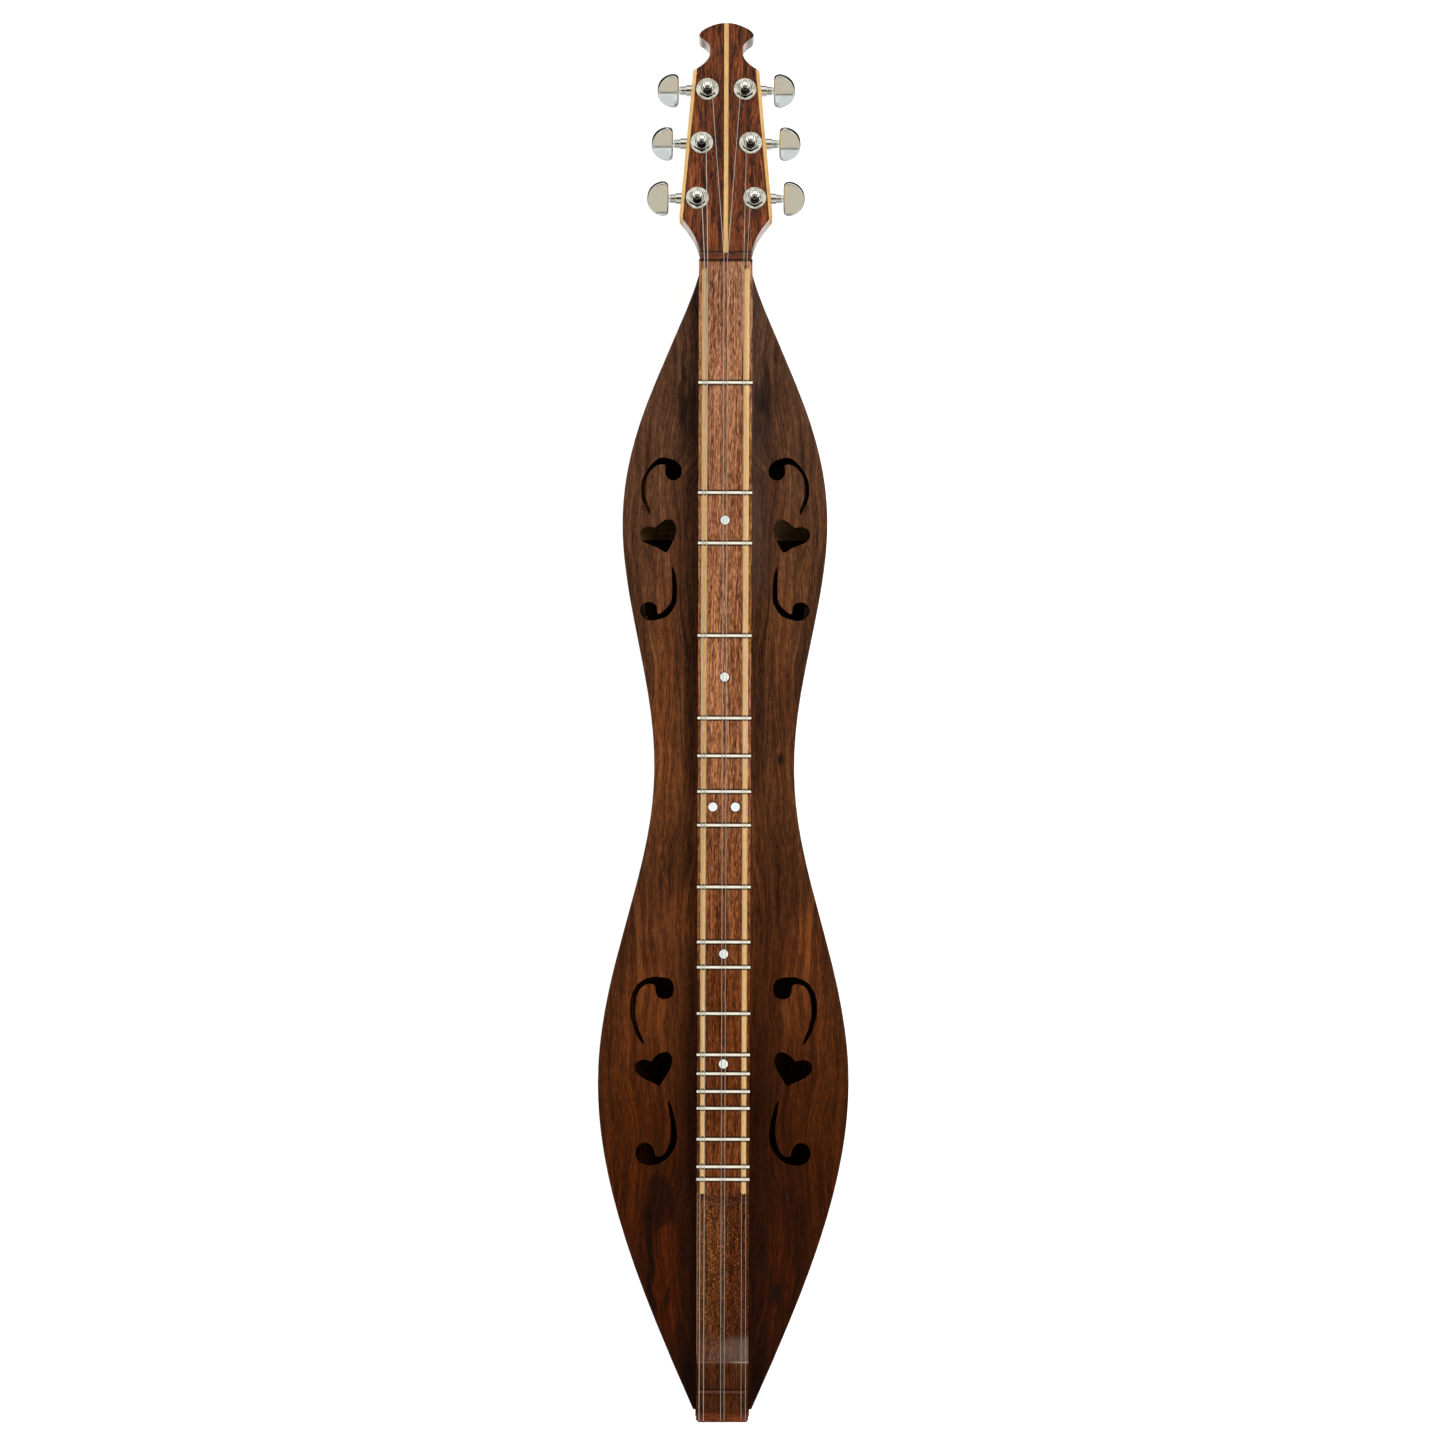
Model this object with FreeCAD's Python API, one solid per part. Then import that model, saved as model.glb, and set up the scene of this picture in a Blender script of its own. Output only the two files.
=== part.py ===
import FreeCAD, Part
import math
import os
from FreeCAD import Vector as V

# Mountain (lap) dulcimer lying on its back. Millimetres.
# X = width (bass side -X, treble side +X), +Y = towards the tip of the peghead,
# +Z = out of the soundboard.
# Origin: on the centre line of the body, on the underside of the back.

# ---- driving dimensions ------------------------------------------------
SCALE_LENGTH = 723.9          # nut edge to saddle
NUT_Y = 295.3                 # playing edge of the nut
NUT_T = 4.0
SADDLE_Y = NUT_Y - SCALE_LENGTH
TAIL_Y = -442.4               # end of the soundboard, start of the end cap
CAP_T = 6.1
CAP_END_Y = TAIL_Y - CAP_T
RIB_END_Y = 285.6
HEAD_BLOCK_Y = 261.0          # inner faces of the two blocks
TAIL_BLOCK_Y = -409.0

BACK_T = 3.0
RIB_H = 46.0
TOP_T = 3.0
FB_H = 14.0
RIB_Z0 = BACK_T
RIB_Z1 = RIB_Z0 + RIB_H
Z_TOP = RIB_Z1 + TOP_T        # top of the soundboard
Z_FB = Z_TOP + FB_H           # top of the fretboard
NUT_Z = Z_FB + 1.6
SADDLE_Z = Z_FB + 3.6
SEAT_DEPTH = 4.0              # nut and saddle feet below the fretboard top

OVERHANG = 1.5                # plates beyond the ribs
RIB_T = 2.0
LINING_T = 4.5
LINING_H = 7.0
RIB_INSET = OVERHANG + RIB_T  # inner face of the ribs, in from the outline
LINING_INSET = RIB_INSET + LINING_T
NECK_HALF = 16.0

PEG_ANGLE = 11.0              # the peghead leans back, degrees
PEG_T = 16.5
PEG_Z = 64.5                  # height of the peghead face behind the nut


# ---- shape helpers -----------------------------------------------------
def curve_through(vectors, periodic=False):
    curve = Part.BSplineCurve()
    curve.interpolate(vectors, PeriodicFlag=periodic)
    return curve


def plan_curve(points):
    return curve_through([V(x, y, 0) for x, y in points])


def side_edge(points):
    """Smooth edge through (y, z) points in the plane x = 0."""
    return curve_through([V(0, y, z) for y, z in points]).toShape()


def side_lines(points):
    return Part.makePolygon([V(0, y, z) for y, z in points]).Edges


def closed_polygon(vectors):
    return Part.makePolygon(vectors + [vectors[0]])


def prism(edges, z0, z1):
    face = Part.Face(Part.Wire(Part.__sortEdges__(edges)))
    face.translate(V(0, 0, z0))
    return face.extrude(V(0, 0, z1 - z0))


def poly_prism(points, z0, z1):
    return prism(closed_polygon([V(x, y, 0) for x, y in points]).Edges, z0, z1)


def extrude_across(wire, half_width):
    """Extrude a wire lying in x = 0 to half_width on both sides."""
    face = Part.Face(wire)
    face.translate(V(-half_width, 0, 0))
    return face.extrude(V(2 * half_width, 0, 0))


def box(x0, x1, y0, y1, z0, z1):
    return Part.makeBox(x1 - x0, y1 - y0, z1 - z0, V(x0, y0, z0))


def rod(radius, start, end):
    start, end = V(*start), V(*end)
    return Part.makeCylinder(radius, (end - start).Length, start, end - start)


def lathe(profile):
    """Solid of revolution about Z from (radius, z) pairs that start and end on the axis."""
    face = Part.Face(closed_polygon([V(radius, 0, z) for radius, z in profile]))
    return face.revolve(V(0, 0, 0), V(0, 0, 1), 360)


def tube(wire, radius):
    first = wire.Edges[0]
    start = first.valueAt(first.FirstParameter)
    direction = first.tangentAt(first.FirstParameter)
    section = Part.Wire(Part.makeCircle(radius, start, direction))
    return wire.makePipeShell([section], True, False)


def mirror(shape):
    return shape.mirror(V(0, 0, 0), V(1, 0, 0))


def fuse(shapes):
    return shapes[0].fuse(shapes[1:]).removeSplitter()


def group(shapes):
    members = []
    for shape in shapes:
        members += shape.Solids
    return members[0] if len(members) == 1 else Part.makeCompound(members)


# Peghead frame: x across, u along the face from behind the nut, w out of the face
PEG_FRAME = FreeCAD.Placement(V(0, NUT_Y + NUT_T, PEG_Z),
                              FreeCAD.Rotation(V(1, 0, 0), -PEG_ANGLE))


def to_world(x, u, w):
    return PEG_FRAME.multVec(V(x, u, w))


def on_face(shape):
    placed = shape.copy()
    placed.Placement = PEG_FRAME.multiply(placed.Placement)
    return placed


parts = {}

# ---- body outline ------------------------------------------------------
# (y, half width of the body)
OUTLINE = [
    (TAIL_Y, 18.75), (-417.2, 29.9), (-391.5, 40.8), (-365.8, 51.1), (-340.0, 60.4),
    (-317.6, 67.4), (-295.1, 73.17), (-272.6, 77.47), (-250.1, 79.99), (-230.8, 80.6),
    (-214.7, 79.95), (-195.4, 77.74), (-172.9, 73.66), (-147.2, 67.49), (-121.5, 60.57),
    (-95.8, 53.89), (-70.1, 48.52), (-47.6, 45.7), (-28.3, 44.97), (-12.3, 45.57),
    (7.0, 47.6), (32.7, 51.91), (58.4, 57.07), (84.1, 61.89), (103.4, 64.54),
    (122.7, 65.82), (142.0, 65.22), (161.3, 62.66), (180.5, 58.14), (199.8, 51.92),
    (223.0, 42.72), (246.1, 32.92), (269.2, 23.2), (RIB_END_Y, 17.6)]
OFFSET_STEPS = 72             # samples along the outline when it is moved in

outline_curve = plan_curve([(x, y) for y, x in OUTLINE])


def offset_curve(inset):
    """The outline moved in by inset, run straight on past both ends."""
    first, last = outline_curve.FirstParameter, outline_curve.LastParameter
    points = []
    for i in range(OFFSET_STEPS + 1):
        at = first + (last - first) * i / OFFSET_STEPS
        tangent = outline_curve.tangent(at)[0]
        outward = V(tangent.y, -tangent.x, 0)     # the curve runs towards +Y
        points.append(outline_curve.value(at) - outward * inset)
    before = points[0] - (points[1] - points[0]) * 1.3
    after = points[-1] + (points[-1] - points[-2]) * 0.9
    return curve_through([before] + points + [after])


def region(inset, y0, y1, z0, z1):
    """Half plan (x > 0) inside the outline moved in by inset, between y0 and y1."""
    curve = offset_curve(inset)
    start, end = curve.value(curve.FirstParameter), curve.value(curve.LastParameter)
    closing = Part.makePolygon([end, V(0, end.y, 0), V(0, start.y, 0), start])
    solid = prism([curve.toShape()] + closing.Edges, z0, z1)
    return solid.common(box(-1, 100, y0, y1, z0 - 1, z1 + 1))


def full_region(*limits):
    half = region(*limits)
    return fuse([half, mirror(half)])


# ---- soundboard and back -----------------------------------------------
PLATE_NECK_HALF = 16.4        # the plates run on to the nut at this half width
PLATE_NECK_Y = 288.9
PLATE_ROUND = 1.0

# Sound holes in the treble half, as (x, y) points. Each hole is one closed curve
# or two that meet end to end.
UPPER_SCROLL_TOP = [
    (48.07, 132.02), (48.96, 137.92), (50.57, 141.48), (51.51, 145.25), (51.64, 148.41),
    (51.51, 151.57), (50.89, 154.7), (49.31, 158.49), (47.43, 160.99), (45.56, 162.86),
    (43.41, 164.22), (41.39, 164.76), (39.51, 164.77), (38.28, 164.0), (38.21, 162.58),
    (38.6, 160.31), (38.32, 158.29), (37.21, 156.35), (35.4, 154.97), (33.26, 154.54),
    (30.64, 155.31), (28.69, 157.18), (27.86, 159.94), (28.14, 162.79), (29.46, 165.09),
    (32.77, 167.61), (36.42, 168.8), (40.18, 169.33), (42.8, 168.65), (45.45, 166.72),
    (48.07, 164.1), (50.36, 160.84), (52.65, 156.58), (54.02, 150.39), (54.02, 146.44),
    (53.29, 141.87), (51.67, 137.94), (49.73, 134.39), (48.07, 132.02)]
UPPER_HEART_OUTER = [
    (45.31, 124.11), (47.09, 124.67), (50.06, 124.66), (52.75, 123.58), (54.52, 121.26),
    (54.53, 118.38), (53.11, 115.87), (50.46, 114.07), (46.91, 112.65), (43.07, 110.99),
    (40.2, 109.21), (37.92, 108.04)]
UPPER_HEART_INNER = [
    (37.92, 108.04), (36.51, 109.3), (35.15, 111.95), (33.54, 114.87), (31.91, 119.08),
    (31.19, 123.35), (32.12, 126.89), (34.23, 129.06), (36.63, 129.55), (38.89, 129.01),
    (41.18, 127.24), (43.36, 125.65), (45.31, 124.11)]
UPPER_SCROLL_BOTTOM = [
    (33.93, 99.56), (32.24, 96.14), (31.27, 91.27), (30.62, 84.15), (30.94, 78.31),
    (31.48, 75.4), (32.6, 72.7), (34.25, 69.99), (36.58, 67.6), (39.89, 65.88),
    (43.82, 64.77), (47.44, 64.37), (50.49, 64.99), (52.89, 66.82), (54.32, 69.37),
    (54.4, 72.27), (53.13, 74.59), (50.77, 75.99), (48.04, 76.27), (45.67, 75.56),
    (43.98, 73.8), (43.36, 71.35), (43.25, 69.58), (42.54, 68.86), (41.19, 69.34),
    (39.66, 70.46), (37.76, 72.1), (35.82, 74.17), (34.71, 76.19), (34.03, 79.04),
    (33.78, 84.15), (33.78, 88.63), (34.03, 93.11), (33.93, 99.56)]
LOWER_SCROLL_TOP = [
    (50.9, -208.36), (52.31, -203.31), (54.36, -198.51), (55.7, -193.93), (56.46, -189.42),
    (56.52, -184.91), (56.2, -180.39), (55.39, -176.54), (53.82, -172.97), (51.91, -170.69),
    (49.99, -169.62), (47.61, -169.19), (45.49, -169.47), (44.08, -170.81), (43.86, -173.22),
    (43.12, -175.95), (41.72, -177.71), (39.69, -178.75), (37.16, -178.89), (34.49, -178.06),
    (32.55, -176.11), (31.84, -173.49), (32.11, -169.76), (33.35, -167.16), (35.47, -165.6),
    (40.12, -164.75), (44.96, -164.49), (49.78, -165.74), (53.8, -168.05), (56.78, -171.42),
    (58.49, -174.91), (59.73, -178.91), (60.13, -184.25), (59.87, -189.52), (58.5, -194.79),
    (56.63, -200.23), (54.34, -204.67), (50.9, -208.36)]
LOWER_HEART_INNER = [
    (46.4, -218.96), (43.9, -215.9), (40.89, -213.74), (37.68, -212.75), (35.2, -213.37),
    (33.47, -215.1), (32.86, -218.32), (33.52, -222.2), (35.22, -225.53), (36.95, -228.49),
    (38.83, -231.85), (41.26, -234.77)]
LOWER_HEART_OUTER = [
    (41.26, -234.77), (43.47, -233.55), (46.46, -232.21), (50.4, -230.47), (54.32, -227.93),
    (56.77, -224.86), (56.84, -221.37), (54.67, -218.79), (51.84, -217.76), (48.92, -218.02),
    (46.4, -218.96)]
LOWER_SCROLL_BOTTOM = [
    (35.61, -243.32), (33.16, -247.67), (31.85, -252.22), (30.76, -257.19), (29.92, -262.23),
    (29.53, -267.43), (30.26, -272.1), (32.1, -276.44), (34.91, -280.18), (38.26, -283.07),
    (42.03, -285.04), (46.65, -285.84), (51.05, -285.23), (54.3, -283.0), (56.07, -279.73),
    (56.0, -275.93), (54.36, -272.91), (51.67, -271.26), (48.88, -271.19), (46.5, -272.44),
    (44.99, -274.82), (43.96, -277.8), (43.08, -279.59), (41.62, -280.24), (39.78, -279.77),
    (38.1, -278.44), (36.23, -275.96), (34.59, -271.81), (33.71, -267.05), (33.45, -262.29),
    (33.84, -257.19), (34.73, -252.07), (35.61, -243.32)]
SOUND_HOLES = [
    [UPPER_SCROLL_TOP], [UPPER_HEART_OUTER, UPPER_HEART_INNER], [UPPER_SCROLL_BOTTOM],
    [LOWER_SCROLL_TOP], [LOWER_HEART_INNER, LOWER_HEART_OUTER], [LOWER_SCROLL_BOTTOM]]


def half_plate(z0, z1, round_z):
    """Treble half of a plate, its long curved edge at round_z rounded."""
    end_y, end_half = OUTLINE[-1]
    tail_y, tail_half = OUTLINE[0]
    straight = Part.makePolygon([
        V(end_half, end_y, 0), V(PLATE_NECK_HALF, PLATE_NECK_Y, 0), V(PLATE_NECK_HALF, NUT_Y, 0),
        V(0, NUT_Y, 0), V(0, TAIL_Y, 0), V(tail_half, tail_y, 0)])
    plate = prism([outline_curve.toShape()] + straight.Edges, z0, z1)
    rim = [e for e in plate.Edges
           if e.Length > 300 and abs(e.BoundBox.ZMin - round_z) < 1e-4
           and abs(e.BoundBox.ZMax - round_z) < 1e-4 and e.BoundBox.XMax > 20]
    return plate.makeFillet(PLATE_ROUND, rim)


def sound_hole(curves):
    return prism([plan_curve(c).toShape() for c in curves], RIB_Z1 - 1, Z_TOP + 1)


top_half = half_plate(RIB_Z1, Z_TOP, Z_TOP).cut([sound_hole(c) for c in SOUND_HOLES])
back_half = half_plate(0, BACK_T, 0.0)
parts["soundboard_treble"] = top_half
parts["soundboard_bass"] = mirror(top_half)
parts["back_treble"] = back_half
parts["back_bass"] = mirror(back_half)

# ---- ribs, linings, tail block and braces ------------------------------
KERF_HALF = 0.4               # saw kerfs across the linings
KERF_YS = range(-400, 256, 16)
KERF_WEB = 2.0                # lining left whole next to the plate
SCALLOP_RUN = 16              # taper at each brace end
BRACE_END_H = 3.5
TOP_BRACE_W, TOP_BRACE_H = 9, 9
TOP_BRACE_YS = (205, 44, -60, -150, -330)
BACK_BRACE_W, BACK_BRACE_H = 24, 8
BACK_BRACE_YS = (130, -10, -128, -345)


def body_core(inset):
    """Cutter for everything further in than inset, past the body on every open side."""
    return region(inset, TAIL_Y - 20, 320, RIB_Z0 - 2, RIB_Z1 + 2)


def make_rib():
    rib = region(OVERHANG, TAIL_Y, RIB_END_Y, RIB_Z0, RIB_Z1)
    return group([rib.cut(body_core(RIB_INSET))])


def make_linings(z0, kerf_z0, kerf_z1):
    lining = region(RIB_INSET, TAIL_BLOCK_Y, HEAD_BLOCK_Y, z0, z0 + LINING_H)
    lining = lining.cut(body_core(LINING_INSET))
    lining = lining.cut([box(0, 100, y - KERF_HALF, y + KERF_HALF, kerf_z0, kerf_z1)
                         for y in KERF_YS])
    return group([lining, mirror(lining)])


def make_brace(y, width, glued_z, height):
    """Brace between the linings; a negative height hangs down from glued_z."""
    free_z = glued_z + height
    away = math.copysign(1, height)
    brace = full_region(LINING_INSET, y - width / 2, y + width / 2,
                        min(glued_z, free_z), max(glued_z, free_z))
    end_x = brace.BoundBox.XMax
    scallop = [(end_x + 1, glued_z + away * BRACE_END_H),
               (end_x - SCALLOP_RUN, free_z + away * .01), (end_x + 1, free_z + away)]
    for side in (1, -1):
        face = Part.Face(closed_polygon([V(side * x, y - width, z) for x, z in scallop]))
        brace = brace.cut(face.extrude(V(0, 2 * width, 0)))
    return brace


parts["rib_treble"] = make_rib()
parts["rib_bass"] = mirror(parts["rib_treble"])
parts["top_linings"] = make_linings(
    RIB_Z1 - LINING_H, RIB_Z1 - LINING_H - 1, RIB_Z1 - KERF_WEB)
parts["back_linings"] = make_linings(RIB_Z0, RIB_Z0 + KERF_WEB, RIB_Z0 + LINING_H + 1)
parts["tail_block"] = full_region(RIB_INSET, TAIL_Y, TAIL_BLOCK_Y, RIB_Z0, RIB_Z1)
parts["soundboard_braces"] = group(
    [make_brace(y, TOP_BRACE_W, RIB_Z1, -TOP_BRACE_H) for y in TOP_BRACE_YS])
parts["back_braces"] = group(
    [make_brace(y, BACK_BRACE_W, RIB_Z0, BACK_BRACE_H) for y in BACK_BRACE_YS])

# ---- fretboard ---------------------------------------------------------
FB_HALF_NUT, FB_HALF_TAIL = 17.15, 16.55
FB_CHAMFER = 0.35
CUT_HALF = 30                 # cutters reach past both sides of the fretboard
HOLLOW_Z = Z_FB - 7.0         # floor of the scoop at the tail end
# (y, z) down into the scoop and out of it again
HOLLOW_IN = [(-303.6, Z_FB), (-305.8, Z_FB - 3.4), (-308.8, Z_FB - 6.2), (-313.0, HOLLOW_Z)]
HOLLOW_OUT = [(-393.2, HOLLOW_Z), (-400.5, HOLLOW_Z + 1.3), (-406.2, HOLLOW_Z + 3.9),
              (-409.8, Z_FB)]
FRET_SEMITONES = [2, 4, 5, 7, 9, 10, 11, 12, 14, 16, 17, 19, 21, 22, 23, 24, 26, 28, 29]
FRET_H, FRET_W = 1.0, 2.0
FRET_OVERHANG = 0.25          # crown beyond each side of the fretboard
TANG_HALF, TANG_DEPTH = 0.28, 1.6
SADDLE_HALF_T = 0.8
INLAY_Y0, INLAY_Y1 = -302.4, 289.3
INLAY_W, INLAY_DEPTH = 3.2, 2.0
INLAY_MARGIN = 1.9            # from the side of the fretboard
DOT_R, DOT_DEPTH = 2.9, 0.8
DOTS = [(0, 128.4), (0, 28.1), (7.2, -55.0), (-7.2, -55.0), (0, -149.0), (0, -219.3)]  # x, y


def fb_half(y):
    along = (NUT_Y - y) / (NUT_Y - TAIL_Y)
    return FB_HALF_NUT + (FB_HALF_TAIL - FB_HALF_NUT) * along


def fret_y(semitones):
    return NUT_Y - SCALE_LENGTH * (1 - 2 ** (-semitones / 12.0))


def cross_slot(y, half_width, depth):
    return box(-CUT_HALF, CUT_HALF, y - half_width, y + half_width, Z_FB - depth, Z_FB + 2)


def fretboard_blank():
    nut_half, tail_half = fb_half(NUT_Y), fb_half(TAIL_Y)
    blank = poly_prism([(-nut_half, NUT_Y), (nut_half, NUT_Y),
                        (tail_half, TAIL_Y), (-tail_half, TAIL_Y)], Z_TOP, Z_FB)
    start, end = HOLLOW_IN[0], HOLLOW_OUT[-1]
    floor = side_lines([HOLLOW_IN[-1], HOLLOW_OUT[0]])
    lid = side_lines([end, (end[0], Z_FB + 5), (start[0], Z_FB + 5), start])
    hollow = Part.Wire([side_edge(HOLLOW_IN)] + floor + [side_edge(HOLLOW_OUT)] + lid)
    blank = blank.cut(extrude_across(hollow, CUT_HALF))
    long_edges = [e for e in blank.Edges
                  if e.Length > 300 and abs(e.BoundBox.ZMin - Z_FB) < 1e-4]
    return blank.makeChamfer(FB_CHAMFER, long_edges)


def make_inlay_strip(side):
    """Long thin strip with rounded ends, parallel to one side of the fretboard."""
    radius = INLAY_W / 2
    head_x = side * (fb_half(INLAY_Y1) - INLAY_MARGIN - radius)
    tail_x = side * (fb_half(INLAY_Y0) - INLAY_MARGIN - radius)
    head, tail = V(head_x, INLAY_Y1 - radius, 0), V(tail_x, INLAY_Y0 + radius, 0)
    right, up = V(radius, 0, 0), V(0, radius, 0)
    edges = [Part.makeLine(head + right, tail + right),
             Part.Arc(tail + right, tail - up, tail - right).toShape(),
             Part.makeLine(tail - right, head - right),
             Part.Arc(head - right, head + up, head + right).toShape()]
    return prism(edges, Z_FB - INLAY_DEPTH, Z_FB)


def make_fret(y):
    half = fb_half(y)
    low, high = V(0, y - FRET_W / 2, Z_FB), V(0, y + FRET_W / 2, Z_FB)
    arc = Part.Arc(low, V(0, y, Z_FB + FRET_H), high).toShape()
    crown = extrude_across(Part.Wire([arc, Part.makeLine(high, low)]), half + FRET_OVERHANG)
    tang = box(-half, half, y - TANG_HALF, y + TANG_HALF, Z_FB - TANG_DEPTH, Z_FB)
    return fuse([crown, tang])


fret_ys = [fret_y(n) for n in FRET_SEMITONES]
inlay_strips = [make_inlay_strip(side) for side in (1, -1)]
dots = [Part.makeCylinder(DOT_R, DOT_DEPTH, V(x, y, Z_FB - DOT_DEPTH)) for x, y in DOTS]
fret_slots = [cross_slot(y, TANG_HALF, TANG_DEPTH) for y in fret_ys]
saddle_slot = cross_slot(SADDLE_Y, SADDLE_HALF_T, SEAT_DEPTH)
parts["fretboard"] = group(
    [fretboard_blank().cut(inlay_strips + dots + fret_slots + [saddle_slot])])
parts["fretboard_inlay_strips"] = group([strip.cut(fret_slots) for strip in inlay_strips])
parts["position_dots"] = group(dots)
parts["frets"] = group([make_fret(y) for y in fret_ys])

# ---- strings and hitch pins --------------------------------------------
POSTS = [(12.1, 110.0), (15.7, 73.8), (18.4, 36.7)]     # x, u of each post row, tip first
POST_R = 3.0
WAIST_R = 2.5                 # post radius under the winding
STRING_D = {"bass": 0.56, "middle": 0.38, "melody": 0.32}
STRING_W = 5.1                # height of the string over the face at its post
STRING_GROOVE = 0.03          # grooves are cut this much wider than the string radius
BEND_R = 1.1
PIN_R, PIN_HEAD_R, PIN_HEAD_T = 0.9, 1.12, 0.6
PIN_DEPTH, PIN_OUT = 5.9, 2.4     # into the body and out of it, from the cap's end face
PIN_ZS = (38.0, 33.0)         # pins alternate in height
# course, side, x at nut, x at saddle, post row; x is outward on that side
STRINGS = [("bass",   -1, 13.65, 14.8, 2), ("bass",   -1, 11.55, 12.0, 1),
           ("middle", -1, 1.15, 1.15, 0),  ("middle",  1, 1.15, 1.15, 0),
           ("melody",  1, 11.55, 12.0, 1), ("melody",  1, 13.65, 14.8, 2)]


def wrap_radius(string_r):
    return WAIST_R + string_r + 0.02


def string_wire(points, loop_r, side):
    """Straight runs joined by tangent arcs, ending in a hook round the hitch pin."""
    edges = []
    start = points[0]
    for before, corner, after in zip(points, points[1:], points[2:]):
        into, out = (corner - before).normalize(), (after - corner).normalize()
        half_turn = into.getAngle(out) / 2
        setback = BEND_R * math.tan(half_turn)
        arc_start, arc_end = corner - into * setback, corner + out * setback
        arc_mid = corner + (out - into).normalize() * (BEND_R / math.cos(half_turn) - BEND_R)
        edges.append(Part.makeLine(start, arc_start))
        edges.append(Part.Arc(arc_start, arc_mid, arc_end).toShape())
        start = arc_end
    end = points[-1]
    edges.append(Part.makeLine(start, end))
    centre = end + V(side * loop_r, 0, 0)
    hook = [centre + V(-side * loop_r * math.cos(a), 0, -loop_r * math.sin(a))
            for a in map(math.radians, (0, 140, 280))]
    edges.append(Part.Arc(*hook).toShape())
    return Part.Wire(edges)


string_shapes = {course: [] for course in STRING_D}
string_grooves, pins, pin_holes = [], [], []
for i, (course, side, nut_x, saddle_x, row) in enumerate(STRINGS):
    radius = STRING_D[course] / 2
    post_x, post_u = POSTS[row]
    cap_x = nut_x + (saddle_x - nut_x) * (NUT_Y - CAP_END_Y) / SCALE_LENGTH
    pin_z = PIN_ZS[i % 2]
    drop_y = CAP_END_Y - radius - 0.06
    loop_r = PIN_R + radius + 0.03
    wire = string_wire([
        to_world(side * (post_x - wrap_radius(radius)), post_u, STRING_W),
        V(side * nut_x, NUT_Y, NUT_Z),
        V(side * saddle_x, SADDLE_Y, SADDLE_Z),
        V(side * (cap_x - 0.02), CAP_END_Y + 1.9, Z_FB + radius + 0.05),
        V(side * cap_x, drop_y, Z_FB - 1.7),
        V(side * cap_x, drop_y, pin_z)], loop_r, side)
    string_grooves.append(tube(wire, radius + STRING_GROOVE))
    string_shapes[course].append(tube(wire, radius))

    pin_x = side * (cap_x + loop_r)
    pin_start = (pin_x, CAP_END_Y + PIN_DEPTH, pin_z)
    pin_end = (pin_x, CAP_END_Y - PIN_OUT, pin_z)
    pin_head = Part.makeCylinder(PIN_HEAD_R, PIN_HEAD_T, V(*pin_end), V(0, -1, 0))
    pins.append(fuse([rod(PIN_R, pin_start, pin_end), pin_head]))
    pin_holes.append(rod(PIN_R, pin_start, (pin_x, CAP_END_Y - 9, pin_z)))
for course, shapes in string_shapes.items():
    parts["strings_%s_course" % course] = group(shapes)
parts["hitch_pins"] = group(pins)

# ---- tail cap, saddle and nut ------------------------------------------
CAP_LOW_HALF, CAP_LOW_ROUND = 17.3, 3.0       # below the soundboard top
CAP_HIGH_HALF, CAP_HIGH_ROUND = 16.6, 2.2     # beside the fretboard end
CAP_TOP_ROUND = 1.2
SADDLE_HALF = 15.9
NUT_HALF = NECK_HALF - 0.1
# (y, z) sections
SADDLE_SECTION = [
    (SADDLE_Y - SADDLE_HALF_T, Z_FB - SEAT_DEPTH), (SADDLE_Y + SADDLE_HALF_T, Z_FB - SEAT_DEPTH),
    (SADDLE_Y + SADDLE_HALF_T, SADDLE_Z - 0.35), (SADDLE_Y + 0.3, SADDLE_Z),
    (SADDLE_Y - 0.2, SADDLE_Z), (SADDLE_Y - SADDLE_HALF_T, SADDLE_Z - 0.5)]
# highest at the playing edge, falling towards the peghead
NUT_SECTION = [
    (NUT_Y, Z_FB - SEAT_DEPTH), (NUT_Y + NUT_T, Z_FB - SEAT_DEPTH),
    (NUT_Y + NUT_T, NUT_Z - 0.95), (NUT_Y + 2.2, NUT_Z - 0.25), (NUT_Y, NUT_Z)]


def outer_uprights(block, min_height):
    return [e for e in block.Edges
            if e.BoundBox.ZLength > min_height and e.BoundBox.YMax < TAIL_Y - 1]


def make_tail_cap():
    low = box(-CAP_LOW_HALF, CAP_LOW_HALF, CAP_END_Y, TAIL_Y, 0, Z_TOP)
    high = box(-CAP_HIGH_HALF, CAP_HIGH_HALF, CAP_END_Y, TAIL_Y, Z_TOP - 1, Z_FB)
    low = low.makeFillet(CAP_LOW_ROUND, outer_uprights(low, 20))
    high = high.makeFillet(CAP_HIGH_ROUND, outer_uprights(high, 10))
    high = high.makeFillet(CAP_TOP_ROUND, [
        e for e in high.Edges
        if e.BoundBox.ZMin > Z_FB - .01 and e.BoundBox.YMax < TAIL_Y - 1])
    return group([fuse([low, high]).cut(pin_holes + string_grooves)])


def grooved_bar(section, half_width):
    wire = closed_polygon([V(0, y, z) for y, z in section])
    return group([extrude_across(wire, half_width).cut(string_grooves)])


parts["tail_cap"] = make_tail_cap()
parts["saddle"] = grooved_bar(SADDLE_SECTION, SADDLE_HALF)
parts["nut"] = grooved_bar(NUT_SECTION, NUT_HALF)

# ---- peghead -----------------------------------------------------------
STRIP_T = 2.8                 # centre strip
EDGE_T = 2.2                  # strips let into the straight sides
BUSHING_R = 4.0
SCREW_R = 1.1
SCREW_U = -9.6                # mounting screw from its post, along the face
FOOT_HALF, FOOT_U0, FOOT_U1 = 16.2, -3.9, -1.0
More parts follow.
